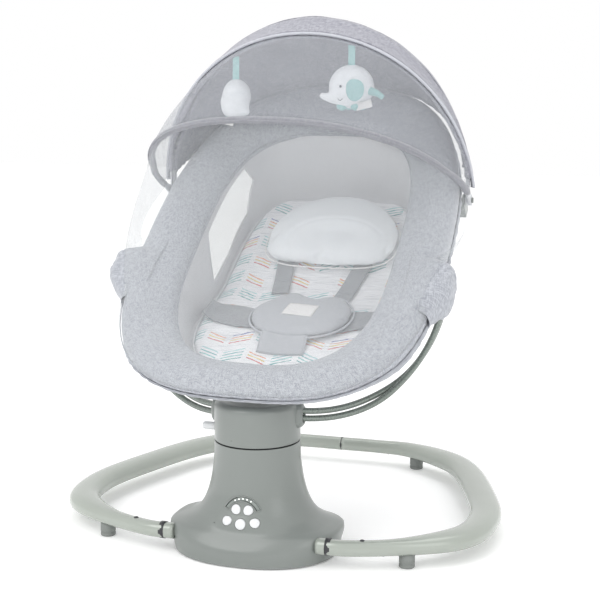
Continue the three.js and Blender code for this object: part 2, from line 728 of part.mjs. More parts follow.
function canopyFabric() {
  const rows = [-1.5, 2.5].map((turn) => clothRow((angle) => bowPoint(bows.mid, angle, bowRadius + 4.5, turn)));
  const crest = clothRow((angle) => bowPoint(bows.rear, angle, bowRadius + 7.5));
  const hem = clothRow((unused, t) => rimRow(Math.PI * (0.135 + 0.73 * t), 7, 4));
  rows.push(crest);
  for (const share of [0.25, 0.5, 0.75, 1]) {
    rows.push(crest.map((point, i) => {
      const bulge = Math.sin(share * Math.PI) * 30 * Math.sin(i / clothSteps * Math.PI);
      return point.clone().lerp(hem[i], share).add(v3(0, bulge, bulge * 0.6));
    }));
  }
  return thicken(skin(rows), -clothThick / 2, clothThick / 2);
}

function visorNet() {
  const rows = [0, 0.25, 0.5, 0.75, 1].map((share) => clothRow((angle) => {
    const from = bowPoint(bows.mid, angle, 0, -3.5);
    const to = bowPoint(bows.front, angle, 0, 3);
    const bulge = Math.sin(share * Math.PI) * 10;
    return from.lerp(to, share).add(v3(0, -bulge * 0.5, bulge));
  }));
  return thicken(skin(rows), -clothThick / 2, clothThick / 2);
}

function insectNet() {
  const rows = [0, 0.5, 1].map((share) => clothRow((angle, t) => bowPoint(bows.front, angle, 0, -3)
    .lerp(rimRow(-Math.PI * (0.02 + 0.96 * t), 0, 31), share)));
  rows.push(clothRow((unused, t) => rimRow(-Math.PI * (0.02 + 0.96 * t), 6, 8)));
  const notch = box(rimHalf - 24, rimHalf + 40, hubPoint.y - 24, hubPoint.y + 24, -30, hubPoint.z + 30);
  return thicken(skin(rows), -clothThick / 2, clothThick / 2).subtract(notch).subtract(mirrored(notch));
}

// Toys hang straight down from the middle bow, so they are built upright.
const toyLoopGap = 6;           // below the bow, so that the loop swings clear

function toy(side, toyX, radius, drop) {
  const across = Math.acos((toyX / bows.mid.half) ** (bows.mid.square / 2));
  const local = bowPoint(bows.mid, across);
  const hang = local.applyAxisAngle(v3(1, 0, 0), seatTilt).add(v3(0, seatY, seatZ));
  const top = hang.z - bowRadius - toyLoopGap;
  const ball = new THREE.SphereGeometry(radius, 16, 9).scale(1, 0.9, 1);
  return placed(ball, side * toyX, hang.y, top - drop)
    .add(box(side * toyX - 5, side * toyX + 5, hang.y - 1, hang.y + 1, top - drop + radius - 4, top));
}

const root = new THREE.Group();
const seat = new THREE.Group();
seat.position.set(0, seatY, seatZ);
seat.rotation.x = seatTilt;
root.add(seat);

function add(group, name, manifold, material) {
  const mesh = new THREE.Mesh(shape(manifold), material);
  mesh.name = name;
  group.add(mesh);
}

function addPair(group, name, manifold, material) {
  add(group, `${name}_right`, manifold, material);
  add(group, `${name}_left`, mirrored(manifold), material);
}

add(root, 'pedestal_shell', pedestalShell(), plastic);
add(root, 'base_plate', basePlate(), plastic);
addPair(root, 'pedestal_pad', rubberPad(1), rubber);
addPair(root, 'base_ring', ringTubeRight(), steelPaint);
add(root, 'ring_coupler', ringCoupler(), metal);
for (const [place, t] of [['front', 0.155], ['back', 0.835]]) {
  add(root, `foot_${place}_right`, foot(t, 1), rubber);
  add(root, `foot_${place}_left`, foot(t, -1), rubber);
}
add(root, 'display_window', displayWindow(), darkPlastic);
for (const petal of petals) add(root, `button_${petal[0]}`, petalButton(petal), lightPlastic);
add(root, 'control_board', controlBoard(), circuit);
add(root, 'speaker', speaker(), darkPlastic);
add(root, 'drive_motor', driveMotor(), metal);
add(root, 'motor_pinion', motorPinion(), metal);
add(root, 'gear_deck', gearDeck(), plastic);
add(root, 'turret_bearing', turretBearing(), plastic);
add(root, 'dc_jack', dcJack(), darkPlastic);
add(root, 'turret_shaft', turretShaft(), metal);
add(root, 'sector_gear', sectorGear(), lightPlastic);
add(root, 'head_shell', headShell(), plastic);
add(root, 'arm_block', armBlock(), metal);
add(root, 'release_knob', releaseKnob(), lightPlastic);
addPair(root, 'arm_upper', armRod(true), rodPaint);
addPair(root, 'arm_lower', armRod(false), rodPaint);
addPair(root, 'arm_bracket', armBracket(), rodPaint);

addPair(seat, 'seat_hub', seatHub(), darkPlastic);
add(seat, 'seat_frame', seatFrame(), metal);
add(seat, 'rim_bumper', rimBumper(), heather);
const tub = seatTub();
const openTub = tub.subtract(windowPrism(0, 1)).subtract(windowPrism(0, -1));
add(seat, 'seat_tub', openTub, lining);
add(seat, 'mesh_window_right', tub.intersect(windowPrism(gap, 1)), net);
add(seat, 'mesh_window_left', tub.intersect(windowPrism(gap, -1)), net);
add(seat, 'seat_carrier', carrierPlate(), darkPlastic);
add(seat, 'seat_pad', seatPad(), print);
add(seat, 'head_pillow', headPillow(), plush);
add(seat, 'harness_pad', harnessPad(), webbing);
addPair(seat, 'shoulder_strap', shoulderStrap(), webbing);
addPair(seat, 'waist_strap', waistStrap(), webbing);
addPair(seat, 'canopy_hub', canopyHub(), plastic);
for (const [place, bow] of Object.entries(bows)) add(seat, `bow_${place}`, canopyBow(bow), lightPlastic);
add(seat, 'canopy_fabric', canopyFabric(), heather);
add(seat, 'visor_net', visorNet(), net);
add(seat, 'insect_net', insectNet(), net);
add(root, 'toy_right', toy(1, 68, 34, 57), plush);
add(root, 'toy_left', toy(-1, 108, 26, 55), plush);

export default root;
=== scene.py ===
# Baby swing on a ring base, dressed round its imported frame.
# Shapes are worked out in millimetres and written to meshes in metres.
import json
import math

import bmesh
import bpy
from mathutils import Matrix, Vector, noise
from mathutils.bvhtree import BVHTree


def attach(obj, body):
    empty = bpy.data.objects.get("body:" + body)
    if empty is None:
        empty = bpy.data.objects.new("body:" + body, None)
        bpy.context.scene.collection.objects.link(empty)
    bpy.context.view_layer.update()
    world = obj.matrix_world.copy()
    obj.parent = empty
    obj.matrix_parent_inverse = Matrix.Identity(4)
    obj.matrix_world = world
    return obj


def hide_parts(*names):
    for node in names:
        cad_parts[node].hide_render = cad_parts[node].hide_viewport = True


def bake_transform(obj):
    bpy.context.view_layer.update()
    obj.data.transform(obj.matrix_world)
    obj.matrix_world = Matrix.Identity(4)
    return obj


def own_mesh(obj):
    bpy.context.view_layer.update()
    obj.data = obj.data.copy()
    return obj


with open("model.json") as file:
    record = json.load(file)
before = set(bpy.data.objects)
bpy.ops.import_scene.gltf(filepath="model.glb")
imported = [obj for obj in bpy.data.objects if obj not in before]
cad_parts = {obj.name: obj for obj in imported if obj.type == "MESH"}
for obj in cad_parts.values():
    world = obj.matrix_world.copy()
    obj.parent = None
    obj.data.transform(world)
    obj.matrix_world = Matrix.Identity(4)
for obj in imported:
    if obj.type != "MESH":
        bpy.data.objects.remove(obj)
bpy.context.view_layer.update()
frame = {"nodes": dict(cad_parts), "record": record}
nodes = frame["nodes"]
joints = {joint["name"]: joint for joint in frame["record"]["behaviour"]["joints"]}
mm = 0.001
turn = 2 * math.pi


def jointAt(name):
    return Vector(joints[name]["pos_m"]) / mm


axisY = jointAt("swing").y          # swing axis of the drive
pivot = jointAt("recline")          # recline axis


def clamp01(t):
    return min(1, max(0, t))


def ease(t):
    return t * t * (3 - 2 * t)


def mixed(a, b, t):
    return a + (b - a) * t


def power(value, exponent):
    return math.copysign(abs(value) ** exponent, value)


def steps(count, low=0.0, high=1.0, closed=False):
    last = count if closed else count - 1
    return [low + (high - low) * i / last for i in range(count)]


def curveThrough(points, closed=False, per=8):
    # centripetal Catmull-Rom spline, as a list of points
    size = len(points)
    made = []
    spans = size if closed else size - 1
    for i in range(spans):
        p1, p2 = points[i], points[(i + 1) % size]
        p0 = points[(i - 1) % size] if closed or i > 0 else p1 * 2 - p2
        p3 = points[(i + 2) % size] if closed or i < size - 2 else p2 * 2 - p1
        t1 = max(1e-6, (p1 - p0).length) ** 0.5
        t2 = t1 + max(1e-6, (p2 - p1).length) ** 0.5
        t3 = t2 + max(1e-6, (p3 - p2).length) ** 0.5
        for k in range(per):
            t = t1 + (t2 - t1) * k / per
            a1 = p0 * ((t1 - t) / t1) + p1 * (t / t1)
            a2 = p1 * ((t2 - t) / (t2 - t1)) + p2 * ((t - t1) / (t2 - t1))
            a3 = p2 * ((t3 - t) / (t3 - t2)) + p3 * ((t - t2) / (t3 - t2))
            b1 = a1 * ((t2 - t) / t2) + a2 * (t / t2)
            b2 = a2 * ((t3 - t) / (t3 - t1)) + a3 * ((t - t1) / (t3 - t1))
            made.append(b1 * ((t2 - t) / (t2 - t1)) + b2 * ((t - t1) / (t2 - t1)))
    if not closed:
        made.append(points[-1].copy())
    return made


def evenly(points, count, closed=False):
    # the same path, with its points spaced evenly along it
    path = list(points) + ([points[0]] if closed else [])
    reach = [0.0]
    for a, b in zip(path, path[1:]):
        reach.append(reach[-1] + (b - a).length)
    made = []
    at = 0
    for share in steps(count, closed=closed):
        want = share * reach[-1]
        while at < len(path) - 2 and reach[at + 1] < want:
            at += 1
        span = max(1e-9, reach[at + 1] - reach[at])
        made.append(path[at].lerp(path[at + 1], clamp01((want - reach[at]) / span)))
    return made


def wander(point, scale, seed=0.0):
    # smooth noise between -1 and 1
    return noise.noise(Vector((point[0] * scale + seed, point[1] * scale - seed,
                               point[2] * scale + 3 * seed)))


def shade(red, green, blue):
    # screen colour, 0 to 255, as linear light
    def linear(part):
        part = part / 255
        return part / 12.92 if part <= 0.04045 else ((part + 0.055) / 1.055) ** 2.4
    return (linear(red), linear(green), linear(blue), 1.0)


class Wire:
    # one socket; arithmetic on it adds Math nodes
    def __init__(self, finish, socket):
        self.finish = finish
        self.socket = socket

    def math(self, operation, *inputs):
        return self.finish.node("ShaderNodeMath", {"operation": operation}, dict(enumerate(inputs)))

    def __add__(self, other):
        return self.math("ADD", self, other)

    def __radd__(self, other):
        return self.math("ADD", other, self)

    def __sub__(self, other):
        return self.math("SUBTRACT", self, other)

    def __rsub__(self, other):
        return self.math("SUBTRACT", other, self)

    def __mul__(self, other):
        return self.math("MULTIPLY", self, other)

    def __rmul__(self, other):
        return self.math("MULTIPLY", other, self)

    def __truediv__(self, other):
        return self.math("DIVIDE", self, other)

    def __rtruediv__(self, other):
        return self.math("DIVIDE", other, self)

    def __pow__(self, other):
        return self.math("POWER", self, other)

    def __mod__(self, other):
        return self.math("FLOORED_MODULO", self, other)

    def __lt__(self, other):
        return self.math("LESS_THAN", self, other)

    def __gt__(self, other):
        return self.math("GREATER_THAN", self, other)

    def __abs__(self):
        return self.math("ABSOLUTE", self)

    def sin(self):
        return self.math("SINE", self)

    def floor(self):
        return self.math("FLOOR", self)

    def least(self, other):
        return self.math("MINIMUM", self, other)

    def most(self, other):
        return self.math("MAXIMUM", self, other)

    def clamped(self):
        return self.most(0.0).least(1.0)


class Finish:
    # a material with one Principled shader, built node by node
    def __init__(self, name, colour, roughness, **fixed):
        self.material = bpy.data.materials.new(name)
        self.material.use_nodes = True
        self.tree = self.material.node_tree
        self.tree.nodes.clear()
        self.shader = self.tree.nodes.new("ShaderNodeBsdfPrincipled")
        output = self.tree.nodes.new("ShaderNodeOutputMaterial")
        self.tree.links.new(self.shader.outputs[0], output.inputs[0])
        self.set("Base Color", colour)
        self.set("Roughness", roughness)
        for socket, value in fixed.items():
            self.set(socket.replace("_", " "), value)

    def plug(self, node, socket, value):
        if isinstance(value, Wire):
            self.tree.links.new(value.socket, node.inputs[socket])
        else:
            node.inputs[socket].default_value = value

    def set(self, socket, value):
        self.plug(self.shader, socket, value)

    def node(self, kind, settings, sockets, output=0):
        made = self.tree.nodes.new(kind)
        for key, value in settings.items():
            setattr(made, key, value)
        for socket, value in sockets.items():
            self.plug(made, socket, value)
        return Wire(self, made.outputs[output])

    def place(self):
        # the object's own coordinates, in metres
        return self.node("ShaderNodeTexCoord", {}, {}, "Object")

    def cloth(self):
        # where a point lies on its cloth, in millimetres
        return self.node("ShaderNodeAttribute", {"attribute_name": "cloth"}, {}, "Vector")

    def parts(self, vector):
        return [self.node("ShaderNodeSeparateXYZ", {}, {0: vector}, axis) for axis in range(3)]

    def join(self, x, y, z=0.0):
        return self.node("ShaderNodeCombineXYZ", {}, {0: x, 1: y, 2: z})

    def stretch(self, vector, x, y, z):
        return self.node("ShaderNodeVectorMath", {"operation": "MULTIPLY"}, {0: vector, 1: (x, y, z)})

    def noise(self, vector, scale, detail=2.0, rough=0.5):
        return self.node("ShaderNodeTexNoise", {}, {"Vector": vector, "Scale": scale, "Detail": detail,
                                                    "Roughness": rough})

    def cells(self, vector, scale):
        return self.node("ShaderNodeTexVoronoi", {}, {"Vector": vector, "Scale": scale}, "Distance")

    def mix(self, factor, first, second, how="MIX"):
        return self.node("ShaderNodeMix", {"data_type": "RGBA", "blend_type": how},
                         {0: factor, 6: first, 7: second}, 2)

    def bump(self, height, distance, strength=1.0):
        self.set("Normal", self.node("ShaderNodeBump", {}, {"Height": height, "Distance": distance,
                                                            "Strength": strength}))

    def weave(self, u, v, pitch):
        # plain weave, 0 to 1: a thread goes over and under its neighbours
        across = (u * (turn / 2 / pitch)).sin()
        along = (v * (turn / 2 / pitch)).sin()
        return across * along * 0.5 + 0.5

    def edgeWear(self, colour, worn, amount):
        # lighter where a corner sticks out
        edge = self.node("ShaderNodeNewGeometry", {}, {}, "Pointiness")
        mask = ((edge - 0.51) * 14.0).clamped() * amount
        return self.mix(mask, colour, worn)


def mouldedPlastic(name, colour, darker, lighter, roughness=0.3, grain=0.00006, coat=0.25):
    finish = Finish(name, colour, roughness, Coat_Weight=coat, Coat_Roughness=0.12)
    place = finish.place()
    cloud = finish.noise(place, 9.0, 3.0)
    flow = finish.noise(place, 70.0, 2.0)
    tint = finish.mix(cloud, darker, lighter)
    tint = finish.mix(0.55, tint, colour)
    finish.set("Base Color", finish.edgeWear(tint, lighter, 0.35))
    finish.set("Roughness", flow * 0.1 + (roughness - 0.05))
    finish.bump(finish.noise(place, 900.0, 2.0), grain, 0.5)
    return finish.material


def paintedSteel(name, colour, lighter, metallic, roughness):
    finish = Finish(name, colour, roughness, Metallic=metallic, Coat_Weight=0.5, Coat_Roughness=0.1)
    place = finish.place()
    peel = finish.noise(place, 420.0, 2.0)
    cloud = finish.noise(place, 14.0, 2.0)
    finish.set("Base Color", finish.edgeWear(finish.mix(cloud * 0.5, colour, lighter), lighter, 0.4))
    finish.set("Roughness", peel * 0.12 + (roughness - 0.06))
    finish.bump(peel, 0.00012, 0.5)
    return finish.material


def brushedMetal():
    finish = Finish("steel", shade(178, 181, 184), 0.35, Metallic=1.0)
    streaks = finish.noise(finish.stretch(finish.place(), 900.0, 40.0, 40.0), 1.0, 3.0)
    finish.set("Roughness", streaks * 0.25 + 0.22)
    finish.set("Base Color", finish.mix(streaks, shade(150, 153, 157), shade(196, 198, 200)))
    finish.bump(streaks, 0.00005)
    return finish.material


def boardFinish():
    finish = Finish("circuit", shade(40, 96, 62), 0.4, Coat_Weight=0.4, Coat_Roughness=0.2)
    tracks = finish.cells(finish.place(), 320.0)
    copper = (tracks > 0.62) * 0.6
    finish.set("Base Color", finish.mix(copper, shade(34, 88, 56), shade(112, 150, 92)))
    finish.bump(tracks, 0.0001)
    return finish.material


def rubberFinish(name, colour):
    finish = Finish(name, colour, 0.75)
    grit = finish.noise(finish.place(), 700.0, 3.0)
    finish.set("Base Color", finish.mix(grit * 0.5, colour, shade(96, 100, 98)))
    finish.bump(grit, 0.00015)
    return finish.material


def lensFinish():
    finish = Finish("display_lens", shade(120, 128, 124), 0.14, Coat_Weight=1.0, Coat_Roughness=0.03)
    cloud = finish.noise(finish.place(), 160.0, 2.0)
    finish.set("Base Color", finish.mix(cloud, shade(104, 112, 108), shade(146, 153, 149)))
    finish.set("Roughness", cloud * 0.08 + 0.1)
    return finish.material


def glintFinish():
    # painted highlight: this lamp finish glows although nothing on the display is lit; its dots stand in for
    # glints
    finish = Finish("lamp", shade(250, 250, 246), 0.25, Emission_Strength=0.7)
    glow = finish.noise(finish.place(), 300.0, 1.0)
    finish.set("Emission Color", finish.mix(glow, shade(255, 255, 255), shade(236, 244, 240)))
    return finish.material


def wovenFabric(name, colour, darker, lighter, pitch=0.9, slub=0.6, depth=0.00022, sheen=0.25):
    # yarns of two tones, with thin slubs along both threads
    finish = Finish(name, colour, 0.92, Sheen_Weight=sheen, Sheen_Roughness=0.5)
    u, v, _ = finish.parts(finish.cloth())
    warp = finish.noise(finish.join(u * 0.75, v * 0.11), 1.0, 3.0)
    weft = finish.noise(finish.join(u * 0.11, v * 0.75), 1.0, 3.0)
    threads = finish.weave(u, v, pitch)
    cloud = finish.noise(finish.join(u * 0.012, v * 0.012), 1.0, 3.0)
    heather = ((warp + weft - 1.0) * (3.6 * slub) + 0.5 + (cloud - 0.5) * 0.35).clamped()
    tone = finish.mix(heather, darker, lighter)
    tone = finish.mix(0.35, tone, colour)
    tone = finish.mix((1 - threads) * 0.16, tone, darker)
    finish.set("Base Color", tone)
    finish.set("Roughness", threads * -0.1 + 0.97)
    finish.bump(threads * 0.6 + warp * 0.25 + weft * 0.25, depth)
    return finish.material


def netFinish(name, colour, strand, pitch, thin, thick, sheen=0.1):
    # knitted net: opaque strands round small holes
    finish = Finish(name, colour, 0.85, Sheen_Weight=sheen)
    u, v, _ = finish.parts(finish.cloth())
    holes = ((u + v) * (turn / 2 / pitch)).sin() * ((u - v) * (turn / 2 / pitch)).sin()
    gap = (abs(holes) * 1.7 - 0.35).clamped()
    cloud = finish.noise(finish.join(u * 0.02, v * 0.02), 1.0, 2.0)
    finish.set("Base Color", finish.mix(gap, strand, colour))
    finish.set("Alpha", (gap * (thin - thick) + thick + (cloud - 0.5) * 0.08).clamped())
    finish.bump(1 - gap, 0.00012)
    return finish.material


def printedCotton():
    # rows of short slanted dashes that zigzag across gathered cotton, with painted shade greying its folds
    finish = Finish("printed_cotton", shade(250, 250, 252), 0.9, Sheen_Weight=0.2)
    u, v, _ = finish.parts(finish.cloth())
    wobble = finish.noise(finish.join(u * 0.03, v * 0.03), 1.0, 1.0) - 0.5
    column, row = 36.0, 42.0
    zig = abs((u / column) % 2.0 - 1.0)
    lift = v + wobble * 5.0 + zig * 17.0
    band = (lift / row).floor()
    within = (lift / row - band) * row
    cell = (u / column).floor()
    inCell = (u / column - cell) * column
    pick = finish.node("ShaderNodeTexWhiteNoise", {"noise_dimensions": "2D"},
                       {"Vector": finish.join(cell, band)})
    spot = (inCell > 4.0) * (inCell < 32.0)
    shown = (pick > 0.22) * spot
    cool = pick > 0.58
    thick = 1.15
    tone = shade(250, 250, 252)
    inks = [(8.0, shade(66, 160, 158), shade(214, 84, 78)), (14.5, shade(128, 200, 198), shade(236, 206, 92)),
            (21.0, shade(84, 170, 174), shade(238, 150, 98)), (27.5, shade(160, 214, 216),
                                                               shade(84, 94, 168))]
    for place, coolInk, warmInk in inks:
        dash = (abs(within - place) < thick) * shown
        if place > 21:
            dash = dash * (pick > 0.5)
        tone = finish.mix(dash * 0.95, tone, finish.mix(cool, warmInk, coolInk))
    # painted shade: the noise that raises the gathered folds also greys the cotton along them, as shade in the
    # creases
    gather_folds = finish.noise(finish.join(u * 0.035, v * 0.42), 1.0, 3.0)
    fold_shade = ((gather_folds - 0.52) * 7.0).clamped() * 0.42
    tone = finish.mix(fold_shade, tone, shade(176, 180, 190))
    threads = finish.weave(u, v, 0.7)
    finish.set("Base Color", finish.mix((1 - threads) * 0.06, tone, shade(200, 202, 208)))
    finish.bump(gather_folds * 1.0 + threads * 0.12, 0.0011)
    return finish.material


def plushFinish(name, colour, darker, lighter, fluff=0.0006):
    finish = Finish(name, colour, 1.0, Sheen_Weight=0.6, Sheen_Roughness=0.4)
    place = finish.place()
    pile = finish.noise(place, 900.0, 4.0, 0.7)
    cloud = finish.noise(place, 45.0, 3.0)
    tone = finish.mix(cloud, darker, lighter)
    finish.set("Base Color", finish.mix(pile * 0.35, finish.mix(0.5, tone, colour), darker))
    finish.bump(pile * 0.6 + cloud * 0.4, fluff)
    return finish.material


def threadFinish(name, colour):
    finish = Finish(name, colour, 0.8, Sheen_Weight=0.3)
    fibre = finish.noise(finish.place(), 1400.0, 2.0)
    finish.set("Base Color", finish.mix(fibre * 0.4, colour, shade(150, 152, 160)))
    finish.bump(fibre, 0.0002)
    return finish.material


finishes = {
    "pedestal": mouldedPlastic("pedestal_plastic", shade(126, 131, 128), shade(119, 125, 121),
                               shade(134, 139, 136)),
    "ring": paintedSteel("ring_paint", shade(158, 164, 156), shade(172, 178, 170), 0.15, 0.24),
    "rod": paintedSteel("rod_paint", shade(112, 121, 114), shade(134, 142, 136), 0.35, 0.28),
    "dark": mouldedPlastic("dark_plastic", shade(44, 44, 47), shade(36, 36, 39), shade(60, 60, 64), 0.45,
                           0.0001, 0.1),
    "lens": lensFinish(),
    # lamp: painted highlight, a glowing finish for dots that stand in for glints on the display
    "lamp": glintFinish(),
    "key": mouldedPlastic("light_plastic", shade(222, 224, 225), shade(210, 212, 214), shade(234, 236, 237),
                          0.42, 0.00012),
    "bow": mouldedPlastic("bow_plastic", shade(196, 198, 202), shade(186, 188, 192), shade(208, 210, 214),
                          0.45),
    "rubber": rubberFinish("foot_rubber", shade(139, 143, 140)),
    "steel": brushedMetal(),
    "circuit": boardFinish(),
    "heather": wovenFabric("heather_fabric", shade(172, 175, 181), shade(143, 146, 155),
                           shade(197, 200, 206), 1.5, 1.2),
    "hood": wovenFabric("hood_fabric", shade(150, 150, 158), shade(118, 119, 130), shade(178, 178, 187), 1.5,
                        1.2),
    "lining": wovenFabric("lining_fabric", shade(218, 218, 220), shade(200, 200, 203), shade(232, 232, 234),
                          1.3, 0.8),
    "harness": wovenFabric("harness_fabric", shade(182, 184, 189), shade(166, 168, 174),
                           shade(196, 198, 203), 0.8, 0.4),
    "webbing": wovenFabric("webbing", shade(152, 154, 158), shade(136, 138, 143), shade(166, 168, 172), 1.3,
                           0.25, 0.0004),
    "binding": wovenFabric("binding", shade(194, 196, 203), shade(178, 180, 188), shade(208, 210, 216), 0.7,
                           0.4),
    "sleeve": wovenFabric("sleeve", shade(146, 147, 153), shade(126, 127, 134), shade(164, 165, 171), 0.8,
                          0.5),
    "print": printedCotton(),
    "plush": plushFinish("plush_white", shade(246, 249, 251), shade(234, 238, 242), shade(253, 254, 255)),
    "teal": plushFinish("plush_teal", shade(146, 200, 198), shade(126, 184, 182), shade(168, 214, 212),
                        0.0003),
    "ribbon": wovenFabric("ribbon", shade(150, 208, 204), shade(128, 190, 188), shade(170, 220, 216), 0.6,
                          0.2),
    "tag": wovenFabric("tag", shade(244, 242, 240), shade(232, 228, 226), shade(250, 249, 248), 0.6, 0.2),
    "sideMesh": netFinish("side_mesh", shade(250, 251, 250), shade(240, 242, 240), 1.5, 0.16, 0.5),
    "visorMesh": netFinish("visor_mesh", shade(208, 211, 216), shade(194, 197, 203), 1.3, 0.1, 0.34),
    "insectMesh": netFinish("insect_mesh", shade(228, 231, 233), shade(214, 218, 221), 1.6, 0.04, 0.2),
    "thread": threadFinish("thread", shade(176, 178, 186)),
    "eye": mouldedPlastic("eye", shade(70, 72, 78), shade(60, 62, 68), shade(84, 86, 92), 0.3),
}


def grid(rows, wrapRow=False, wrapPoint=False):
    size = len(rows[0])
    points = [point for row in rows for point in row]
    faces = []
    for i in range(len(rows) - (0 if wrapRow else 1)):
        j2 = (i + 1) % len(rows)
        for j in range(size - (0 if wrapPoint else 1)):
            k = (j + 1) % size
            faces.append((i * size + j, i * size + k, j2 * size + k, j2 * size + j))
    return points, faces


def piece(name, points, faces, finish, body, slot=None, replaces=(), cloth=None, smooth=True):
    mesh = bpy.data.meshes.new(name)
    mesh.from_pydata([point * mm for point in points], [], faces)
    tidy = bmesh.new()
    tidy.from_mesh(mesh)
    bmesh.ops.recalc_face_normals(tidy, faces=tidy.faces)
    tidy.to_mesh(mesh)
    tidy.free()
    made = bpy.data.objects.new(name, mesh)
    bpy.context.scene.collection.objects.link(made)
    if cloth:
        markCloth(made, cloth)
    return dress(made, finish, body, replaces, smooth)


def dress(made, finish, body, replaces=(), smooth=True):
    made.data.materials.clear()
    made.data.materials.append(finishes[finish])
    if smooth:
        for face in made.data.polygons:
            face.use_smooth = True
    if body:
        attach(made, body)
    if replaces:
        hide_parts(*replaces)
    return made


def markCloth(made, coordinates):
    # coordinates is a list of (u, v) or a function of a point in millimetres
    mark = made.data.attributes.get("cloth") or made.data.attributes.new("cloth", "FLOAT_VECTOR", "POINT")
    for i, vertex in enumerate(made.data.vertices):
        u, v = coordinates(vertex.co / mm) if callable(coordinates) else coordinates[i]
        mark.data[i].vector = (u, v, 0.0)


def clothOf(rows, closed=False):
    # (u, v) of each point of a grid: u along the rows, v from row to row
    made = []
    middle = len(rows[0]) // 2
    v = 0.0
    for i, row in enumerate(rows):
        if i:
            v += sum((row[j] - rows[i - 1][j]).length for j in (middle // 2, middle)) / 2
        u = 0.0
        for j, point in enumerate(row):
            if j:
                u += (point - row[j - 1]).length
            made.append((u, v))
    return made


def settle(made):
    # its modifiers become its mesh
    graph = bpy.context.evaluated_depsgraph_get()
    mesh = bpy.data.meshes.new_from_object(made.evaluated_get(graph))
    made.modifiers.clear()
    made.data = mesh
    return made


def thickened(made, thickness, offset=0.0):
    sheet = made.modifiers.new("sheet", "SOLIDIFY")
    sheet.thickness = thickness * mm
    sheet.offset = offset
    return settle(made)


def carve(made, cutters, how="DIFFERENCE"):
    for cutter in cutters:
        cut = made.modifiers.new("cut", "BOOLEAN")
        cut.operation = how
        cut.solver = "EXACT"
        cut.object = cutter
    settle(made)
    for cutter in cutters:
        bpy.data.objects.remove(cutter)
    return made


def block(name, points, faces):
    # a closed solid to cut with
    mesh = bpy.data.meshes.new(name)
    mesh.from_pydata([point * mm for point in points], [], faces)
    tidy = bmesh.new()
    tidy.from_mesh(mesh)
    bmesh.ops.recalc_face_normals(tidy, faces=tidy.faces)
    tidy.to_mesh(mesh)
    tidy.free()
    made = bpy.data.objects.new(name, mesh)
    bpy.context.scene.collection.objects.link(made)
    return made


def capped(rows):
    # closed sections from end to end, closed by a fan at each end
    points, faces = grid(rows, wrapPoint=True)
    size = len(rows[0])
    for start, row in ((0, rows[0]), (len(points) - size, rows[-1])):
        centre = sum(row, Vector()) / size
        points.append(centre)
        faces += [(start + j, start + (j + 1) % size, len(points) - 1) for j in range(size)]
    return points, faces


def prism(name, outline, near, far, where):
    # a plan outline stood up between two heights, placed by a matrix
    rows = [[where @ Vector((x, y, z)) for x, y in outline] for z in (near, far)]
    return block(name, *capped(rows))


def sections(path, section, closed=False, up=None):
    # a flat section carried along a path without twisting
    size = len(path)
    rows = []
    side = None
    for i, point in enumerate(path):
        after = path[(i + 1) % size] if closed or i < size - 1 else point
        before = path[(i - 1) % size] if closed or i > 0 else point
        tangent = (after - before).normalized()
        if up is not None:
            side = up(i, tangent) if callable(up) else up
        elif side is None:
            side = Vector((0, 0, 1)) if abs(tangent.z) < 0.8 else Vector((1, 0, 0))
        side = (side - tangent * side.dot(tangent)).normalized()
        other = tangent.cross(side)
        outline = section(i / max(1, size - 1)) if callable(section) else section
        rows.append([point + other * a + side * b for a, b in outline])
    return rows


def ringOutline(radius, count=10, tall=1.0):
    return [(radius * math.cos(turn * k / count), radius * tall * math.sin(turn * k / count))
            for k in range(count)]


def tubePiece(name, path, radius, finish, body, closed=False, count=10, up=None, tall=1.0, **more):
    rows = sections(path, ringOutline(radius, count, tall), closed, up)
    points, faces = grid(rows, True, True) if closed else capped(rows)
    marks = clothOf(rows)
    marks += [(0.0, 0.0)] * (len(points) - len(marks))
    return piece(name, points, faces, finish, body, cloth=marks, **more)


def lathe(name, profile, centre, finish, body, count=48, **more):
    # a profile of (radius, height) turned about a vertical axis
    rows = [[centre + Vector((r * math.cos(turn * k / count), r * math.sin(turn * k / count), z))
             for k in range(count)] for r, z in profile]
    return piece(name, *capped(rows), finish, body, **more)


def rounded(made, width=1.0, angle=35):
    edge = made.modifiers.new("round", "BEVEL")
    edge.width = width * mm
    edge.segments = 3
    edge.limit_method = "ANGLE"
    edge.angle_limit = math.radians(angle)
    return made


def sculpt(made, move):
    # each vertex moves along its normal by move(point in millimetres)
    normals = [vertex.normal.copy() for vertex in made.data.vertices]
    for vertex, normal in zip(made.data.vertices, normals):
        vertex.co += normal * (move(vertex.co / mm) * mm)
    return made


def puffed(made, voxel=5.0, cap=8.0, pressure=4.0, smooth=1):
    # inflate a closed cushion with a cloth simulation, then hold it to a cap
    grain = made.modifiers.new("grain", "REMESH")
    grain.mode = "VOXEL"
    grain.voxel_size = voxel * mm
    settle(made)
    rest = [vertex.co.copy() for vertex in made.data.vertices]
    cloth = made.modifiers.new("puff", "CLOTH")
    cloth.settings.use_pressure = True
    cloth.settings.uniform_pressure_force = pressure
    cloth.settings.effector_weights.gravity = 0
    scene = bpy.context.scene
    for step in range(1, 21):
        scene.frame_set(step)
    graph = bpy.context.evaluated_depsgraph_get()
    moved = [vertex.co.copy() for vertex in made.evaluated_get(graph).data.vertices]
    made.modifiers.clear()
    scene.frame_set(1)
    for vertex, start, end in zip(made.data.vertices, rest, moved):
        shift = end - start
        vertex.co = start + shift * min(1.0, cap * mm / max(1e-9, shift.length))
    if smooth:
        soft = made.modifiers.new("soft", "SUBSURF")
        soft.levels = smooth
        soft.render_levels = smooth
        settle(made)
    return made


studio = {
    "azimuth": 17.2, "height": 9.8, "distance": 2040, "target": (0, 10, 307), "lens": 84,
    "sky": (1.0, 1.0, 1.0, 1.0), "skyStrength": 1.0, "floor": shade(254, 254, 254),
}


def aimed(made, place, target):
    made.location = Vector(place) * mm
    made.rotation_euler = (Vector(target) - Vector(place)).to_track_quat("-Z", "Y").to_euler()
    bpy.context.scene.collection.objects.link(made)
    return made


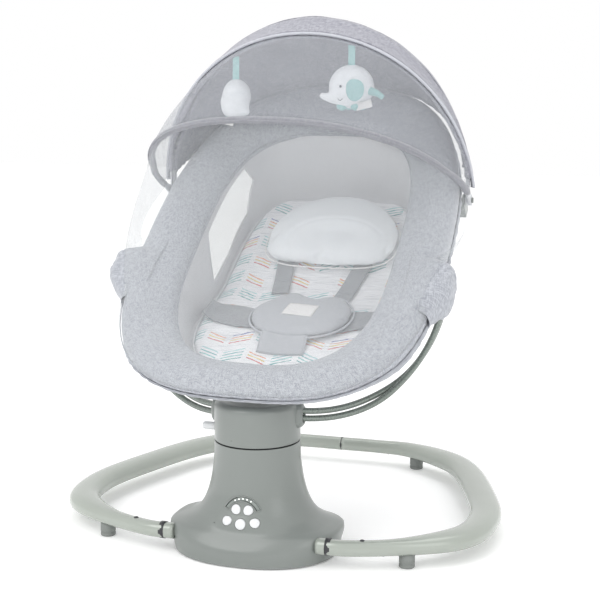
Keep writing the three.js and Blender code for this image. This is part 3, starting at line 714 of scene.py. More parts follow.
def softBox(name, place, size, watts, colour=(1, 1, 1)):
    lamp = bpy.data.lights.new(name, "AREA")
    lamp.shape = "RECTANGLE"
    lamp.size, lamp.size_y = size[0] * mm, size[1] * mm
    lamp.energy = watts
    lamp.color = colour
    return aimed(bpy.data.objects.new(name, lamp), place, (0, 0, 320))


def makeStudio():
    scene = bpy.context.scene
    scene.view_settings.view_transform = "Standard"
    lens = bpy.data.cameras.new("camera")
    lens.lens = studio["lens"]
    lens.sensor_width = 36
    turned, raised = math.radians(studio["azimuth"]), math.radians(studio["height"])
    away = Vector((math.sin(turned) * math.cos(raised), -math.cos(turned) * math.cos(raised),
                   math.sin(raised)))
    target = Vector(studio["target"])
    scene.camera = aimed(bpy.data.objects.new("camera", lens), target + away * studio["distance"], target)
    world = bpy.data.worlds.new("studio")
    world.use_nodes = True
    world.node_tree.nodes["Background"].inputs[0].default_value = studio["sky"]
    world.node_tree.nodes["Background"].inputs[1].default_value = studio["skyStrength"]
    scene.world = world
    softBox("key", (-900, -1500, 1700), (1300, 1300), 13)
    softBox("fill", (1500, -1300, 900), (900, 1400), 4)
    softBox("top", (100, 500, 2100), (1600, 1200), 9)
    floor = block("floor", [Vector((x, y, 0)) for x,
                            y in ((-6000, -6000), (6000, -6000), (6000, 6000), (-6000, 6000))],
                  [(0, 1, 2, 3)])
    paper = Finish("floor_paper", studio["floor"], 0.9, Emission_Strength=0.12)
    grain = paper.noise(paper.place(), 60.0, 2.0)
    paper.set("Base Color", paper.mix(grain * 0.2, studio["floor"], shade(252, 252, 252)))
    floor.data.materials.append(paper.material)


makeStudio()
print("studio ready")


pedestal = {
    # height, half width, reach to the front, reach to the back, squareness
    "levels": [(2, 113, 95, 64, 2.25), (20, 116, 92, 66, 2.4), (30, 118, 85, 66, 2.7), (38, 117, 78, 65, 2.8),
               (42, 103, 75, 64, 2.5), (52, 84, 72.5, 63, 2.2), (66, 73, 66, 62, 2.1), (85, 66, 60.5, 60, 2),
               (105, 61.5, 58.6, 58.5, 2), (128, 58.6, 58, 58, 2), (149, 58, 58, 58, 2)],
    "wall": 3, "around": 120, "panelReach": 69, "panelZ": 60, "panelTilt": 21,
    # angle and reach from the flower's middle, and how far it narrows towards it
    "petals": {"top_left": (128, 13, 0.28), "top_right": (52, 13, 0.28), "right": (-14, 19, 0.3),
               "centre": (-90, 8, 0.05), "left": (194, 19, 0.3)},
    "petalRadius": 7.4, "petalRise": 1.5, "petalGap": 0.55,
    "archNear": 22.5, "archFar": 27.5, "archReach": 62,
}


def monotone(xs, ys, x):
    # smooth curve through points that never overshoots them
    rise = [(ys[i + 1] - ys[i]) / (xs[i + 1] - xs[i]) for i in range(len(xs) - 1)]
    slope = [rise[0]]
    for before, after in zip(rise, rise[1:]):
        slope.append(0 if before * after <= 0 else 2 * before * after / (before + after))
    slope.append(rise[-1])
    i = max(0, min(len(rise) - 1, sum(1 for start in xs if start <= x) - 1))
    span = xs[i + 1] - xs[i]
    t = (x - xs[i]) / span
    return (ys[i] * (1 + 2 * t) * (1 - t) ** 2 + slope[i] * span * t * (1 - t) ** 2
            + ys[i + 1] * t * t * (3 - 2 * t) + slope[i + 1] * span * t * t * (t - 1))


def pedestalRow(z, inset=0.0):
    heights = [level[0] for level in pedestal["levels"]]
    half, front, back, square = [monotone(heights, [level[k] for level in pedestal["levels"]], z)
                                 for k in range(1, 5)]
    row = []
    for k in range(pedestal["around"]):
        c, s = math.cos(turn * k / pedestal["around"]), math.sin(turn * k / pedestal["around"])
        reach = front if s < 0 else back
        row.append(Vector(((half - inset) * power(c, 2 / square),
                           axisY + (reach - inset) * power(s, 2 / square), z)))
    return row


panel = (Matrix.Translation((0, axisY - pedestal["panelReach"], pedestal["panelZ"]))
         @ Matrix.Rotation(math.radians(90 - pedestal["panelTilt"]), 4, "X"))
panelOut = (panel.to_3x3() @ Vector((0, 0, 1))).normalized()
pedestalRows = [pedestalRow(z) for z in steps(64, pedestal["levels"][0][0], pedestal["levels"][-1][0])]
pedestalSkin = BVHTree.FromPolygons(*grid(pedestalRows, wrapPoint=True))


def onPanel(x, y, out=0.0):
    # the pedestal's face in front of a place on the panel, pushed out along the panel's normal
    start = panel @ Vector((x, y, 60))
    hit = pedestalSkin.ray_cast(start, -panelOut)[0]
    return hit + panelOut * out


def petalOutline(petal, grow=0.0, count=40):
    degrees, reach, narrow = pedestal["petals"][petal]
    angle = math.radians(degrees)
    radius = pedestal["petalRadius"] + grow
    outline = []
    for k in range(count):
        c, s = math.cos(turn * k / count), math.sin(turn * k / count)
        along = radius * (1 if c > 0 else 1 - narrow * 0.6) * c
        across = radius * (1 - narrow * 0.5 * (1 - c)) * s
        outline.append(((reach + along) * math.cos(angle) - across * math.sin(angle),
                        (reach + along) * math.sin(angle) + across * math.cos(angle)))
    return outline


def archOutline(grow=0.0, count=20):
    near, far = pedestal["archNear"] - grow, pedestal["archFar"] + grow
    reach = math.radians(pedestal["archReach"] + grow)
    outline = []
    for radius, sides in ((far, steps(count, -reach, reach)), (near, steps(count, reach, -reach))):
        outline += [(radius * math.sin(-side), radius * math.cos(side)) for side in sides]
    return outline


def makePedestal():
    rows = [[point.copy() for point in row] for row in pedestalRows]
    lip = pedestalRow(pedestal["levels"][-1][0], 0.7)
    rows.append([point + Vector((0, 0, 0.5)) for point in lip])
    shell = piece("pedestal_body", *grid(rows, wrapPoint=True), "pedestal", None)
    thickened(shell, pedestal["wall"], -1.0)
    cutters = [prism("cut", petalOutline(petal, pedestal["petalGap"]), -30, 40, panel)
               for petal in pedestal["petals"]]
    cutters.append(prism("cut", archOutline(pedestal["petalGap"]), -30, 40, panel))
    hole = panel @ Matrix.Translation((-38, -9, 0))
    cutters.append(prism("cut", ringOutline(0.7), -20, 40, hole))
    carve(shell, cutters)
    dress(shell, "pedestal", "base", ["pedestal_shell"])
    edge = shell.modifiers.new("soft", "EDGE_SPLIT")
    edge.split_angle = math.radians(50)
    settle(shell)


def makeButton(petal):
    shares = [0.0, 0.3, 0.55, 0.75, 0.88, 0.95, 0.985, 1.0]
    rise = pedestal["petalRise"]
    outline = petalOutline(petal)
    middle = Vector((sum(x for x, _ in outline), sum(y for _, y in outline))) / len(outline)
    rows = []
    for share in shares + [1.0]:
        out = rise * (1 - share ** 5) ** 0.5 + 0.1 if len(rows) < len(shares) else -4.0
        rows.append([onPanel(*(middle + (Vector(point) - middle) * max(share, 0.001)), out)
                     for point in outline])
    piece("button_" + petal + "_cap", *grid(rows, wrapPoint=True), "key", "button_" + petal, "light_plastic",
          ["button_" + petal])


def makeWindow():
    rows = []
    near, far = pedestal["archNear"], pedestal["archFar"]
    for side in steps(40, -pedestal["archReach"], pedestal["archReach"]):
        angle = math.radians(side)
        rows.append([onPanel(r * math.sin(angle), r * math.cos(angle), out) for r, out in
                     ((near, -5.0), (near, -1.0), (near + 0.5, -0.7), ((near + far) / 2, -0.4),
                      (far - 0.5, -0.7),
                      (far, -1.0), (far, -5.0))])
    piece("display_lens", *capped(rows), "lens", "base", "display_lens", ["display_window"])
    # painted highlights: five small glowing domes along the arch stand in for glints on the display; they are
    # not lit status lamps
    for side in (-26, -13, 0, 13, 26):
        angle = math.radians(side)
        middle = onPanel(25 * math.sin(angle), 25 * math.cos(angle), -0.5)
        dome = [[middle + panel.to_3x3() @ Vector((r * math.cos(turn * k / 16), r * math.sin(turn * k / 16),
                                                   h))
                 for k in range(16)] for r, h in ((1.0, -0.4), (1.0, 0.2), (0.75, 0.5), (0.35, 0.65),
                                                  (0.01, 0.7))]
        piece("painted_glint_%d" % (side // 13 + 3), *capped(dome), "lamp", "base")
    lip = [onPanel(x, y, 0.15) for x, y in archOutline(1.0, 30)]
    tubePiece("display_lip", evenly(lip, 120, True), 0.8, "pedestal", "base", True)


makePedestal()
for petal in pedestal["petals"]:
    makeButton(petal)
makeWindow()
print("pedestal ready")


ring = {
    "half": 290, "deep": 242, "midY": 4, "z": 28, "tube": 10.5, "flat": 22, "flatHalf": 13,
    "path": [(0.345, -1), (0.46, -0.998), (0.71, -0.884), (0.948, -0.636), (1, -0.306), (0.914, 0.149),
             (0.7, 0.727),
             (0.4, 0.975), (0.2, 1), (0.002, 1)],
    "feet": {"front": 0.155, "back": 0.835}, "footRadius": 10.5, "snap": 0.075,
}


def ringPath(side, count=170):
    points = [Vector((side * ring["half"] * x, ring["midY"] + ring["deep"] * y, ring["z"])) for x,
              y in ring["path"]]
    return evenly(curveThrough(points, per=16), count)


def ringSize(t):
    flat = ease(clamp01((t - 0.1) / 0.16)) * ease(clamp01((0.93 - t) / 0.2))
    return (ring["tube"] + (ring["flat"] - ring["tube"]) * flat,
            ring["tube"] + (ring["flatHalf"] - ring["tube"]) * flat)


def makeRing(side, word):
    path = ringPath(side)

    def outline(t):
        wide, high = ringSize(t)
        return [(wide * power(math.cos(turn * k / 28), 0.85), high * power(math.sin(turn * k / 28), 0.85))
                for k in range(28)]

    rows = sections(path, outline, up=Vector((0, 0, 1)))
    piece("ring_tube_" + word, *capped(rows), "ring", "base", "ring_paint", ["base_ring_" + word])
    for place, t in ring["feet"].items():
        centre = path[round(t * (len(path) - 1))]
        radius, top = ring["footRadius"], ring["z"] - ringSize(t)[1] + 2.5
        profile = [(radius - 2, 0), (radius - 0.6, 0.4), (radius, 1.6), (radius, 4.4), (radius - 0.7, 5),
                   (radius - 0.7, 6),
                   (radius, 6.6), (radius, top - 2.2), (radius - 1.2, top - 0.6), (radius - 2.5, top)]
        lathe("rubber_foot_%s_%s" % (place, word), profile, Vector((centre.x, centre.y, 0)), "rubber", "base",
              slot="foot_rubber", replaces=["foot_%s_%s" % (place, word)])
    at = path[round(ring["snap"] * (len(path) - 1))]
    lathe("snap_button_" + word, [(3.4, -1.5), (3.4, 0.2), (2.6, 1.3), (1.2, 1.7)],
          at + Vector((0, 0, ring["tube"] - 0.3)),
          "dark", "base", count=20)
    for spot, t in (("front", 0.11), ("back", 0.9)):
        at = path[round(t * (len(path) - 1))]
        lathe("ring_screw_%s_%s" % (spot, word), [(3.0, 0.9), (3.0, 0.2), (2.2, -0.5), (0.8, -0.6)],
              at - Vector((0, 0, ringSize(t)[1] + 0.2)), "steel", "base", count=18)
    start = path[0] + Vector((side * 12, 0, 0))
    tubePiece("ring_collar_" + word, [start, start + Vector((side * 7, 0.3, 0))], ring["tube"] + 1.1, "dark",
              "base",
              count=28, up=Vector((0, 0, 1)))


for side, word in ((1, "right"), (-1, "left")):
    makeRing(side, word)
seam = Vector((0, ring["midY"] + ring["deep"], ring["z"]))
tubePiece("ring_seam", [seam - Vector((1.2, 0, 0)), seam + Vector((1.2, 0, 0))], ring["tube"] + 0.25, "dark",
          "base",
          count=28, up=Vector((0, 0, 1)))
print("ring ready")


head = {
    "radius": 58, "low": 151.2, "top": 205, "rodZ": 187, "rodRadius": 4.2, "rodApart": 10.2, "armX": 234.5,
    "knobZ": 162.5, "knobRadius": 5.5, "bracketWide": 11, "bracketThick": 5.4,
}


def makeHead():
    r, low, top = head["radius"], head["low"], head["top"]
    profile = [(r - 5, low), (r - 0.9, low), (r - 0.25, low + 0.3), (r, low + 1.1)]
    profile += [(r, z) for z in steps(8, low + 4, top - 10)]
    profile += [(r - 10 + 10 * math.cos(a), top - 9 + 9 * math.sin(a)) for a in steps(10, 0.15, math.pi / 2)]
    profile += [(r - 20, top + 0.1), (8, top + 0.1)]
    centre = Vector((0, axisY, 0))
    shell = lathe("head_body", profile, centre, "pedestal", None, count=128)
    knobHole = Matrix.Translation((-80, axisY, head["knobZ"])) @ Matrix.Rotation(math.pi / 2, 4, "Y")
    carve(shell, [prism("cut", ringOutline(head["knobRadius"] + 0.6, 28), 0, 45, knobHole)])
    dress(shell, "pedestal", "head", ["head_shell"])
    edge = shell.modifiers.new("soft", "EDGE_SPLIT")
    edge.split_angle = math.radians(50)
    settle(shell)
    for side, word in ((1, "right"), (-1, "left")):
        rows = []
        for x, tall, deep in ((46, 19, 17), (54, 18.5, 15), (59, 17, 12.5), (62.5, 15, 10.5),
                              (64.2, 12.5, 8.6),
                              (64.6, 10.8, 6.2), (62.0, 10.2, 5.6)):
            rows.append([Vector((side * x, axisY + 3 + deep * power(math.cos(turn * k / 32), 0.75),
                                 head["rodZ"] - 1.5 + tall * power(math.sin(turn * k / 32), 0.75)))
                         for k in range(32)])
        piece("arm_socket_" + word, *capped(rows), "pedestal", "head", "pedestal_plastic")
    lathe("head_seam_shadow", [(head["radius"] - 6, 148.6), (head["radius"] - 3.2, 148.6),
                               (head["radius"] - 3.2, 152.0)],
          centre, "dark", "base", count=96)


def makeKnob():
    r = head["knobRadius"]
    profile = [(-46, r), (-74, r), (-76.4, r - 0.5), (-77.8, r - 1.6), (-78.5, r - 3.4)]
    rows = [[Vector((x, axisY + q * math.cos(turn * k / 40), head["knobZ"] + q * math.sin(turn * k / 40)))
             for k in range(40)] for x, q in profile]
    knob = piece("release_knob_grip", *capped(rows), "key", "knob", "light_plastic", ["release_knob"])
    rounded(knob, 0.5)


def armPath(count=110):
    rise, z = head["rodZ"], axisY
    line = [Vector((36.5, z + 3, rise)), Vector((60, z + 3, rise))]
    b0, b1 = line[1], Vector((head["armX"] - 66, z + 74, rise - 18))
    b2 = Vector((head["armX"] - 11, pivot.y + 34, pivot.z - 90))
    b3 = Vector((head["armX"], pivot.y, pivot.z - 17))
    for t in steps(60)[1:]:
        line.append(b0 * (1 - t) ** 3 + b1 * 3 * t * (1 - t) ** 2 + b2 * 3 * t * t * (1 - t) + b3 * t ** 3)
    return evenly(line, count)


def armApart(t):
    turned = ease(clamp01(t * 1.15))
    return Vector((0, turned, 1 - turned))


def makeArm(side, word):
    path = armPath()
    last = len(path) - 1
    rails = {"upper": [], "lower": []}
    for i, point in enumerate(path):
        tangent = (path[min(i + 1, last)] - path[max(i - 1, 0)]).normalized()
        apart = armApart(i / last)
        apart = (apart - tangent * apart.dot(tangent)).normalized()
        for rail, way in (("upper", 0.5), ("lower", -0.5)):
            moved = point + apart * head["rodApart"] * way
            rails[rail].append(Vector((side * moved.x, moved.y, moved.z)))
    for rail, points in rails.items():
        tubePiece("arm_rod_%s_%s" % (rail, word), points, head["rodRadius"], "rod", "head", count=20,
                  slot="rod_paint",
                  replaces=["arm_%s_%s" % (rail, word)])
    top = Vector((side * head["armX"], pivot.y, pivot.z))
    wide, thick = head["bracketWide"], head["bracketThick"]
    shape = []
    for z, w, t in ((-24, wide - 2.2, 5.0), (-17, wide - 0.6, 5.3), (-10, wide, thick), (0, wide, thick),
                    (7, wide - 0.8, thick),
                    (11, wide - 3.4, thick - 0.5), (13, wide - 7.5, thick - 2.0)):
        shape.append([top + Vector((t * power(math.cos(turn * k / 32), 0.6),
                                    w * power(math.sin(turn * k / 32), 0.7), z))
                      for k in range(32)])
    bracket = piece("pivot_bracket_" + word, *capped(shape), "pedestal", "head", "rod_paint",
                    ["arm_bracket_" + word])
    soft = bracket.modifiers.new("soft", "SUBSURF")
    soft.levels = soft.render_levels = 1
    settle(bracket)
    band = [top + Vector((0, 0, -25.5)), top + Vector((0, 0, -22.5))]
    tubePiece("bracket_band_" + word, band, wide - 1.2, "dark", "head", count=28, up=Vector((0, 1, 0)),
              tall=1.0)
    rows = [[top + Vector((side * x, r * math.cos(turn * k / 6), r * math.sin(turn * k / 6)))
             for k in range(6)]
            for x, r in ((4.2, 4.2), (6.6, 4.2), (7.2, 3.4))]
    piece("pivot_bolt_" + word, *capped(rows), "steel", "head", smooth=False)


makeHead()
makeKnob()
for side, word in ((1, "right"), (-1, "left")):
    makeArm(side, word)
print("head and arms ready")


carried = {
    "pedestal": ["base_plate", "gear_deck", "turret_bearing", "canopy_hub_right", "canopy_hub_left"],
    "rubber": ["pedestal_pad_right", "pedestal_pad_left"],
    "dark": ["speaker", "dc_jack", "seat_hub_right", "seat_hub_left", "seat_carrier"],
    "steel": ["ring_coupler", "drive_motor", "motor_pinion", "turret_shaft", "arm_block", "seat_frame"],
    "circuit": ["control_board"],
    "key": ["sector_gear"],
    "bow": ["bow_rear", "bow_mid", "bow_front"],
}
for finish, names in carried.items():
    for name in names:
        for slot in nodes[name].material_slots:
            slot.material = finishes[finish]
for name in ("canopy_hub_right", "canopy_hub_left", "seat_hub_right", "seat_hub_left", "seat_carrier",
             "dc_jack"):
    rounded(nodes[name], 0.8)


seat = {
    "y": 70, "z": 457, "tilt": 36,
    "half": 224, "mid": -110, "foot": 290, "head": 355, "squareFoot": 3, "squareHead": 2.6, "squareInner": 3.3,
    "bandSide": 75, "bandFoot": 62, "bandHead": 95,
}
tilt = math.radians(seat["tilt"])


def onSeat(x, s, n):
    # x across the seat, s up its slope, n out of its plane
    return Vector((x, seat["y"] + s * math.cos(tilt) - n * math.sin(tilt),
                   seat["z"] + s * math.sin(tilt) + n * math.cos(tilt)))


def seatPlace(point):
    y, z = point.y - seat["y"], point.z - seat["z"]
    return Vector((point.x, y * math.cos(tilt) + z * math.sin(tilt), z * math.cos(tilt) - y * math.sin(tilt)))


def seatCloth(point):
    place = seatPlace(point)
    return place.x, place.y


def oval(half, foot, headReach, squareFoot, squareHead, angle):
    c, s = math.cos(angle), math.sin(angle)
    square, reach = (squareFoot, foot) if s < 0 else (squareHead, headReach)
    return Vector((half * power(c, 2 / square), seat["mid"] + reach * power(s, 2 / square), 0))


def rimOuter(angle):
    return oval(seat["half"], seat["foot"], seat["head"], seat["squareFoot"], seat["squareHead"], angle)


def rimInner(angle):
    return oval(seat["half"] - seat["bandSide"], seat["foot"] - seat["bandFoot"],
                seat["head"] - seat["bandHead"],
                seat["squareFoot"], seat["squareInner"], angle)


def evenAngles(outline, count, start=0.0):
    # angles whose points are evenly spaced along a closed outline
    fine = 1440
    reach = [0.0]
    for i in range(fine):
        reach.append(reach[-1] + (outline(start + turn * (i + 1) / fine)
                                  - outline(start + turn * i / fine)).length)
    made = []
    at = 0
    for i in range(count):
        while reach[at + 1] < reach[-1] * i / count:
            at += 1
        made.append(start + turn * (at + (reach[-1] * i / count - reach[at])
                                    / max(1e-9, reach[at + 1] - reach[at])) / fine)
    return made


floorPoints = [(-345, -46), (-266, -65), (-192, -87), (-106, -118), (0, -127), (100, -130), (170, -130)]
floorLine = evenly(curveThrough([Vector((s, n, 0)) for s, n in floorPoints]), 160)


def floorAt(s):
    for a, b in zip(floorLine, floorLine[1:]):
        if b.x >= s:
            return mixed(a.y, b.y, clamp01((s - a.x) / (b.x - a.x)))
    return floorLine[-1].y


rim = {
    "around": 300, "ruffleDepth": 1.7,
    "seams": (1.13, 2.01, 3.62, 5.8),
}


def rimSection(width):
    # inward from the outer edge, and height above the seat's plane
    w = width
    points = [(16, -25), (8, -23), (2, -14), (0.5, -3), (3, 11), (12, 20.5), (28, 24), (w * 0.6, 18.5),
              (w - 9, 6.5),
              (w - 1, -7), (w - 4, -19), (w - 14, -23), (w * 0.5, -24.5)]
    return [(p.x, p.y) for p in curveThrough([Vector((u, n, 0)) for u, n in points], True, 4)]


def rimPoint(angle, u, n):
    outer, inner = rimOuter(angle), rimInner(angle)
    inward = (inner - outer).normalized()
    spot = outer + inward * u
    return onSeat(spot.x, spot.y, n)


def rollLift(angle, n):
    # the cover is tucked up higher under the foot end
    return 13 * ease(clamp01((-300 - rimOuter(angle).y) / 80)) * clamp01(-n / 16)


def seamDip(angle, width=0.02):
    return sum(math.exp(-((angle - seam) / width) ** 2) for seam in rim["seams"])


def makeRim():
    angles = evenAngles(rimOuter, rim["around"], math.pi / 2)
    rows = []
    for i, angle in enumerate(angles):
        width = (rimInner(angle) - rimOuter(angle)).length
        row = []
        for u, n in rimSection(width):
            spot = rimPoint(angle, u, n + rollLift(angle, n))
            near = clamp01((-n - 4) / 18) * clamp01((40 - u) / 30)
            gather = math.sin(i * 1.9 + 2.5 * wander(spot, 0.02)) * rim["ruffleDepth"] * near
            soft = wander(spot, 0.016) * 1.6 + wander(spot, 0.05, 4) * 0.5
            dip = -1.6 * seamDip(angle % turn) * clamp01((n + 14) / 14)
            lift = (soft + dip) * clamp01((n + 22) / 16)
            row.append(spot + (onSeat(0, 0, lift) - onSeat(0, 0, 0))
                       + (rimPoint(angle, -gather, 0) - rimPoint(angle, 0, 0)))
        rows.append(row)
    body = piece("rim_cover", *grid(rows, True, True), "heather", "seat", "heather_fabric", ["rim_bumper"],
                 cloth=clothOf(rows))
    inner = [rimPoint(angle, (rimInner(angle) - rimOuter(angle)).length - 0.2, -9) for angle in angles]
    tubePiece("rim_inner_piping", evenly(inner, 260, True), 1.0, "heather", "seat", True)


def makeRimHem():
    # gathered elastic edge that shows under the padded rim
    angles = evenAngles(rimOuter, 900, math.pi / 2)
    rows = []
    for k, (u, n, flutter) in enumerate(((1.2, -9, 0.2), (-0.2, -13, 1.2), (0.0, -17, 2.4), (2.0, -21, 3.0),
                                         (6, -24.5, 2.6),
                                         (12, -27, 1.6), (18, -27.5, 0.4))):
        row = []
        for i, angle in enumerate(angles):
            wave = math.sin(i * 0.62 + 4 * noise.noise(Vector((i * 0.03, 0.3, k * 0.15)))) * 0.6
            wave += noise.noise(Vector((i * 0.35, k * 0.3, 2.0))) * 0.9
            row.append(rimPoint(angle, u - 1.4 - wave * flutter * 0.55,
                                n + rollLift(angle, n) + wave * flutter * 0.5))
        rows.append(row)
    marks = clothOf(rows)
    hem = piece("rim_hem", *grid(rows, wrapPoint=True), "heather", "seat", "heather_fabric", cloth=marks)
    thickened(hem, 0.8)
    length = sum((rimOuter(a) - rimOuter(b)).length for a, b in zip(angles, angles[1:])) * mm


pivotCover = {
    # across the rim and above the seat's plane: over the pivot, and sunk into the rim at its two ends
    "bulging": [(182, 22), (200, 30), (219, 36), (237, 34), (245, 24), (246, 4), (243, -14), (234, -28)],
    "hidden": [(180, 20), (196, 20), (208, 18.5), (217, 12), (220, 4), (221, -4), (219, -12), (214, -18)],
    "reach": 54, "shift": 3, "crumple": 2.2,
}


def makePivotCover(side, word):
    # crumpled flap of the cover that hides the pivot
    bulging, hidden = ([Vector((x, n, 0)) for x, n in pivotCover[key]] for key in ("bulging", "hidden"))
    profile = curveThrough(bulging, False, 5)
    plain = curveThrough(hidden, False, 5)
    middle = seatPlace(pivot).y
    rows = []
    for t in steps(44, -1, 1):
        out = ease(clamp01((1 - abs(t)) / 0.72))
        row = []
        for k, (full, flat) in enumerate(zip(profile, plain)):
            spot = flat.lerp(full, out)
            s = middle + pivotCover["reach"] * t + pivotCover["shift"]
            crumple = noise.noise(Vector((s * 0.16, k * 0.22, side))) * pivotCover["crumple"] * out
            edge = ease(clamp01((k - 26) / 9)) * math.sin(t * 34) * 1.3
            row.append(onSeat(side * (spot.x + crumple + edge), s, spot.y + crumple * 0.5))
        rows.append(row)
    flap = piece("pivot_cover_" + word, *grid(rows), "heather", "seat", "heather_fabric", cloth=clothOf(rows))
    thickened(flap, 0.9)


makeRim()
makeRimHem()
for side, word in ((1, "right"), (-1, "left")):
    makePivotCover(side, word)
print("rim ready")


tub = {
    "half": 157, "foot": 226, "head": 262, "top": -25, "around": 200, "squareFoot": 3.4, "squareHead": 4,
    "floorShare": 0.93, "wallCurve": 2.2,
    "shares": [1.0, 0.998, 0.995, 0.99, 0.983, 0.975, 0.966, 0.957, 0.948, 0.94, 0.93, 0.91, 0.88, 0.84,
               0.78, 0.7, 0.6,
               0.48, 0.35, 0.2, 0.08],
    "window": [(-96, -104), (-58, -34), (94, -34), (102, -66), (66, -106), (-20, -113)],
}


def tubOutline(angle, share=1.0):
    return oval(tub["half"] * share, tub["foot"] * share, tub["head"] * share,
                tub["squareFoot"], tub["squareHead"], angle)


def tubPoint(angle, share):
    spot = tubOutline(angle, share)
    depth = 1 - clamp01((share - tub["floorShare"]) / (1 - tub["floorShare"])) ** tub["wallCurve"]
    return onSeat(spot.x, spot.y, tub["top"] * (1 - depth) + floorAt(spot.y) * depth)


def tubRows(shares):
    angles = evenAngles(tubOutline, tub["around"], -math.pi / 2)
    return [[tubPoint(angle, share) for angle in angles] for share in shares]


def tubEnd(s):
    # reach and squareness of the tub's foot or head end
    if s < seat["mid"]:
        return tub["foot"], tub["squareFoot"]
    return tub["head"], tub["squareHead"]


def wallPoint(s, n, side, out=0.0):
    # the tub's side wall at a height above the seat's plane
    depth = clamp01((n - tub["top"]) / (floorAt(s) - tub["top"]))
    share = tub["floorShare"] + (1 - tub["floorShare"]) * (1 - depth) ** (1 / tub["wallCurve"])
    reach, square = tubEnd(s)
    sine = power(clamp01(abs(s - seat["mid"]) / (reach * share)), square / 2)
    x = tub["half"] * share * math.sqrt(max(0, 1 - sine * sine)) ** (2 / square)
    return onSeat(side * (x + out), s, n)


def windowPrism(side):
    rows = [[onSeat(side * x, *corner) for corner in tub["window"]] for x in (100, 180)]
    return block("cut", *capped(rows))


def makeTub():
    rows = [[onSeat(*(seatPlace(p) + Vector((0, 0, 11))))
             for p in tubRows([1.0])[0]]] + tubRows(tub["shares"])
    marks = clothOf(rows)
    shell = piece("seat_lining", *grid(rows, wrapPoint=True), "lining", None, cloth=marks)
    sculpt(shell, lambda p: wander(p, 0.014) * 1.3 + wander(p, 0.045, 7) * 0.35)
    thickened(shell, 2.2, -1.0)
    carve(shell, [windowPrism(1), windowPrism(-1)])
    dress(shell, "lining", "seat", ["seat_tub"])
    for side, word in ((1, "right"), (-1, "left")):
        net = piece("side_window_" + word, *windowSheet(side), "sideMesh", "seat", "side_mesh",
                    ["mesh_window_" + word])
        markCloth(net, lambda point: (seatPlace(point).y, seatPlace(point).z))
        thickened(net, 0.5)
        edge = []
        corners = tub["window"] + [tub["window"][0]]
        for a, b in zip(corners, corners[1:]):
            edge += [wallPoint(mixed(a[0], b[0], t), mixed(a[1], b[1], t), side, -0.4) for t in steps(8)[:-1]]
        tubePiece("window_binding_" + word, evenly(edge, 110, True), 2.2, "lining", "seat", True, tall=0.6)


def alongCorners(corners, share):
    place = share * (len(corners) - 1)
    i = min(len(corners) - 2, int(place))
    return corners[i].lerp(corners[i + 1], place - i)


def windowSheet(side):
    # strips between the window's lower and upper outline
    low = [Vector(p) for p in ((-99, -106), (-20, -116), (67, -109), (105, -66))]
    high = [Vector(p) for p in ((-99, -104), (-60, -31), (95, -31), (105, -64))]
    rows = []
    for t in steps(12):
        spots = [alongCorners(low, q).lerp(alongCorners(high, q), t) for q in steps(26)]
        rows.append([wallPoint(spot.x, spot.y, side, 0.8) for spot in spots])
    return grid(rows)


makeTub()
print("tub ready")


pad = {
    # place up the slope, and half width there
    "edges": [(-306, 112), (-300, 132), (-285, 139), (-200, 142), (-110, 145), (0, 141), (90, 133),
              (112, 126), (120, 104)],
    "low": 2, "high": 13.5, "rows": 190, "across": 76,
}


def seatHalf(s):
    xs, ys = [edge[0] for edge in pad["edges"]], [edge[1] for edge in pad["edges"]]
    return monotone(xs, ys, s)


def tubHalfAt(s):
    reach, square = tubEnd(s)
    share = clamp01(abs(s - seat["mid"]) / (reach * tub["floorShare"]))
    return tub["half"] * tub["floorShare"] * (1 - share ** square) ** (1 / square)


def makePad():
    low, high = pad["edges"][0][0], pad["edges"][-1][0]
    top, under = [], []
    for i, t in enumerate(steps(pad["rows"])):
        s = mixed(low, high, t)
        half = min(seatHalf(s), tubHalfAt(s) - 9)
        ends = 1 - abs(2 * t - 1) ** 40
        topRow, underRow = [], []
        for q in steps(pad["across"], -1, 1):
            x = half * q
            edge = max(0.0, (1 - abs(q) ** 16) * ends) ** 0.5
            fine = noise.noise(Vector((x * 0.03, s * 0.28, 1.0))) * 1.5
            broad = noise.noise(Vector((x * 0.012, s * 0.03, 9.0))) * 1.6
            ripple = fine + broad
            thick = (pad["high"] - pad["low"] + ripple) * edge
            bow = 8 * math.cos(q * math.pi / 2) * clamp01((low + 60 - s) / 60)
            base = floorAt(s) + pad["low"]
            topRow.append(onSeat(x, s - bow, base + max(0.3, thick)))
            underRow.append(onSeat(x, s - bow, base))
        top.append(topRow)
        under.append(underRow)
    points, faces = grid(top)
    lowPoints, lowFaces = grid(under)
    shift = len(points)
    size = pad["across"]
    rings = [i for i in range(size)] + [(i + 1) * size - 1 for i in range(1, pad["rows"])]
    rings += [(pad["rows"] - 1) * size + i for i in range(size - 2, -1, -1)]
    rings += [i * size for i in range(pad["rows"] - 2, 0, -1)]
    faces += [tuple(i + shift for i in face) for face in lowFaces]
    faces += [(a, b, b + shift, a + shift) for a, b in zip(rings, rings[1:] + rings[:1])]
    cushion = piece("printed_pad", points + lowPoints, faces, "print", "seat", "printed_cotton", ["seat_pad"],
                    cloth=seatCloth)
    for side, word in ((1, "right"), (-1, "left")):
        edge = [onSeat(side * (min(seatHalf(s), tubHalfAt(s) - 9) + 0.5), s, floorAt(s) + 7)
                for s in steps(70, -288, 108)]
        tubePiece("pad_piping_" + word, edge, 1.7, "lining", "seat")


makePad()
print("pad ready")


harness = {
    "centre": (18, -186), "half": 75, "deep": 60, "low": 19, "high": 9.5,
    "crotch": (-24, 42), "crotchEnd": -276,
    "strapWide": 26, "strapThick": 1.8,
}


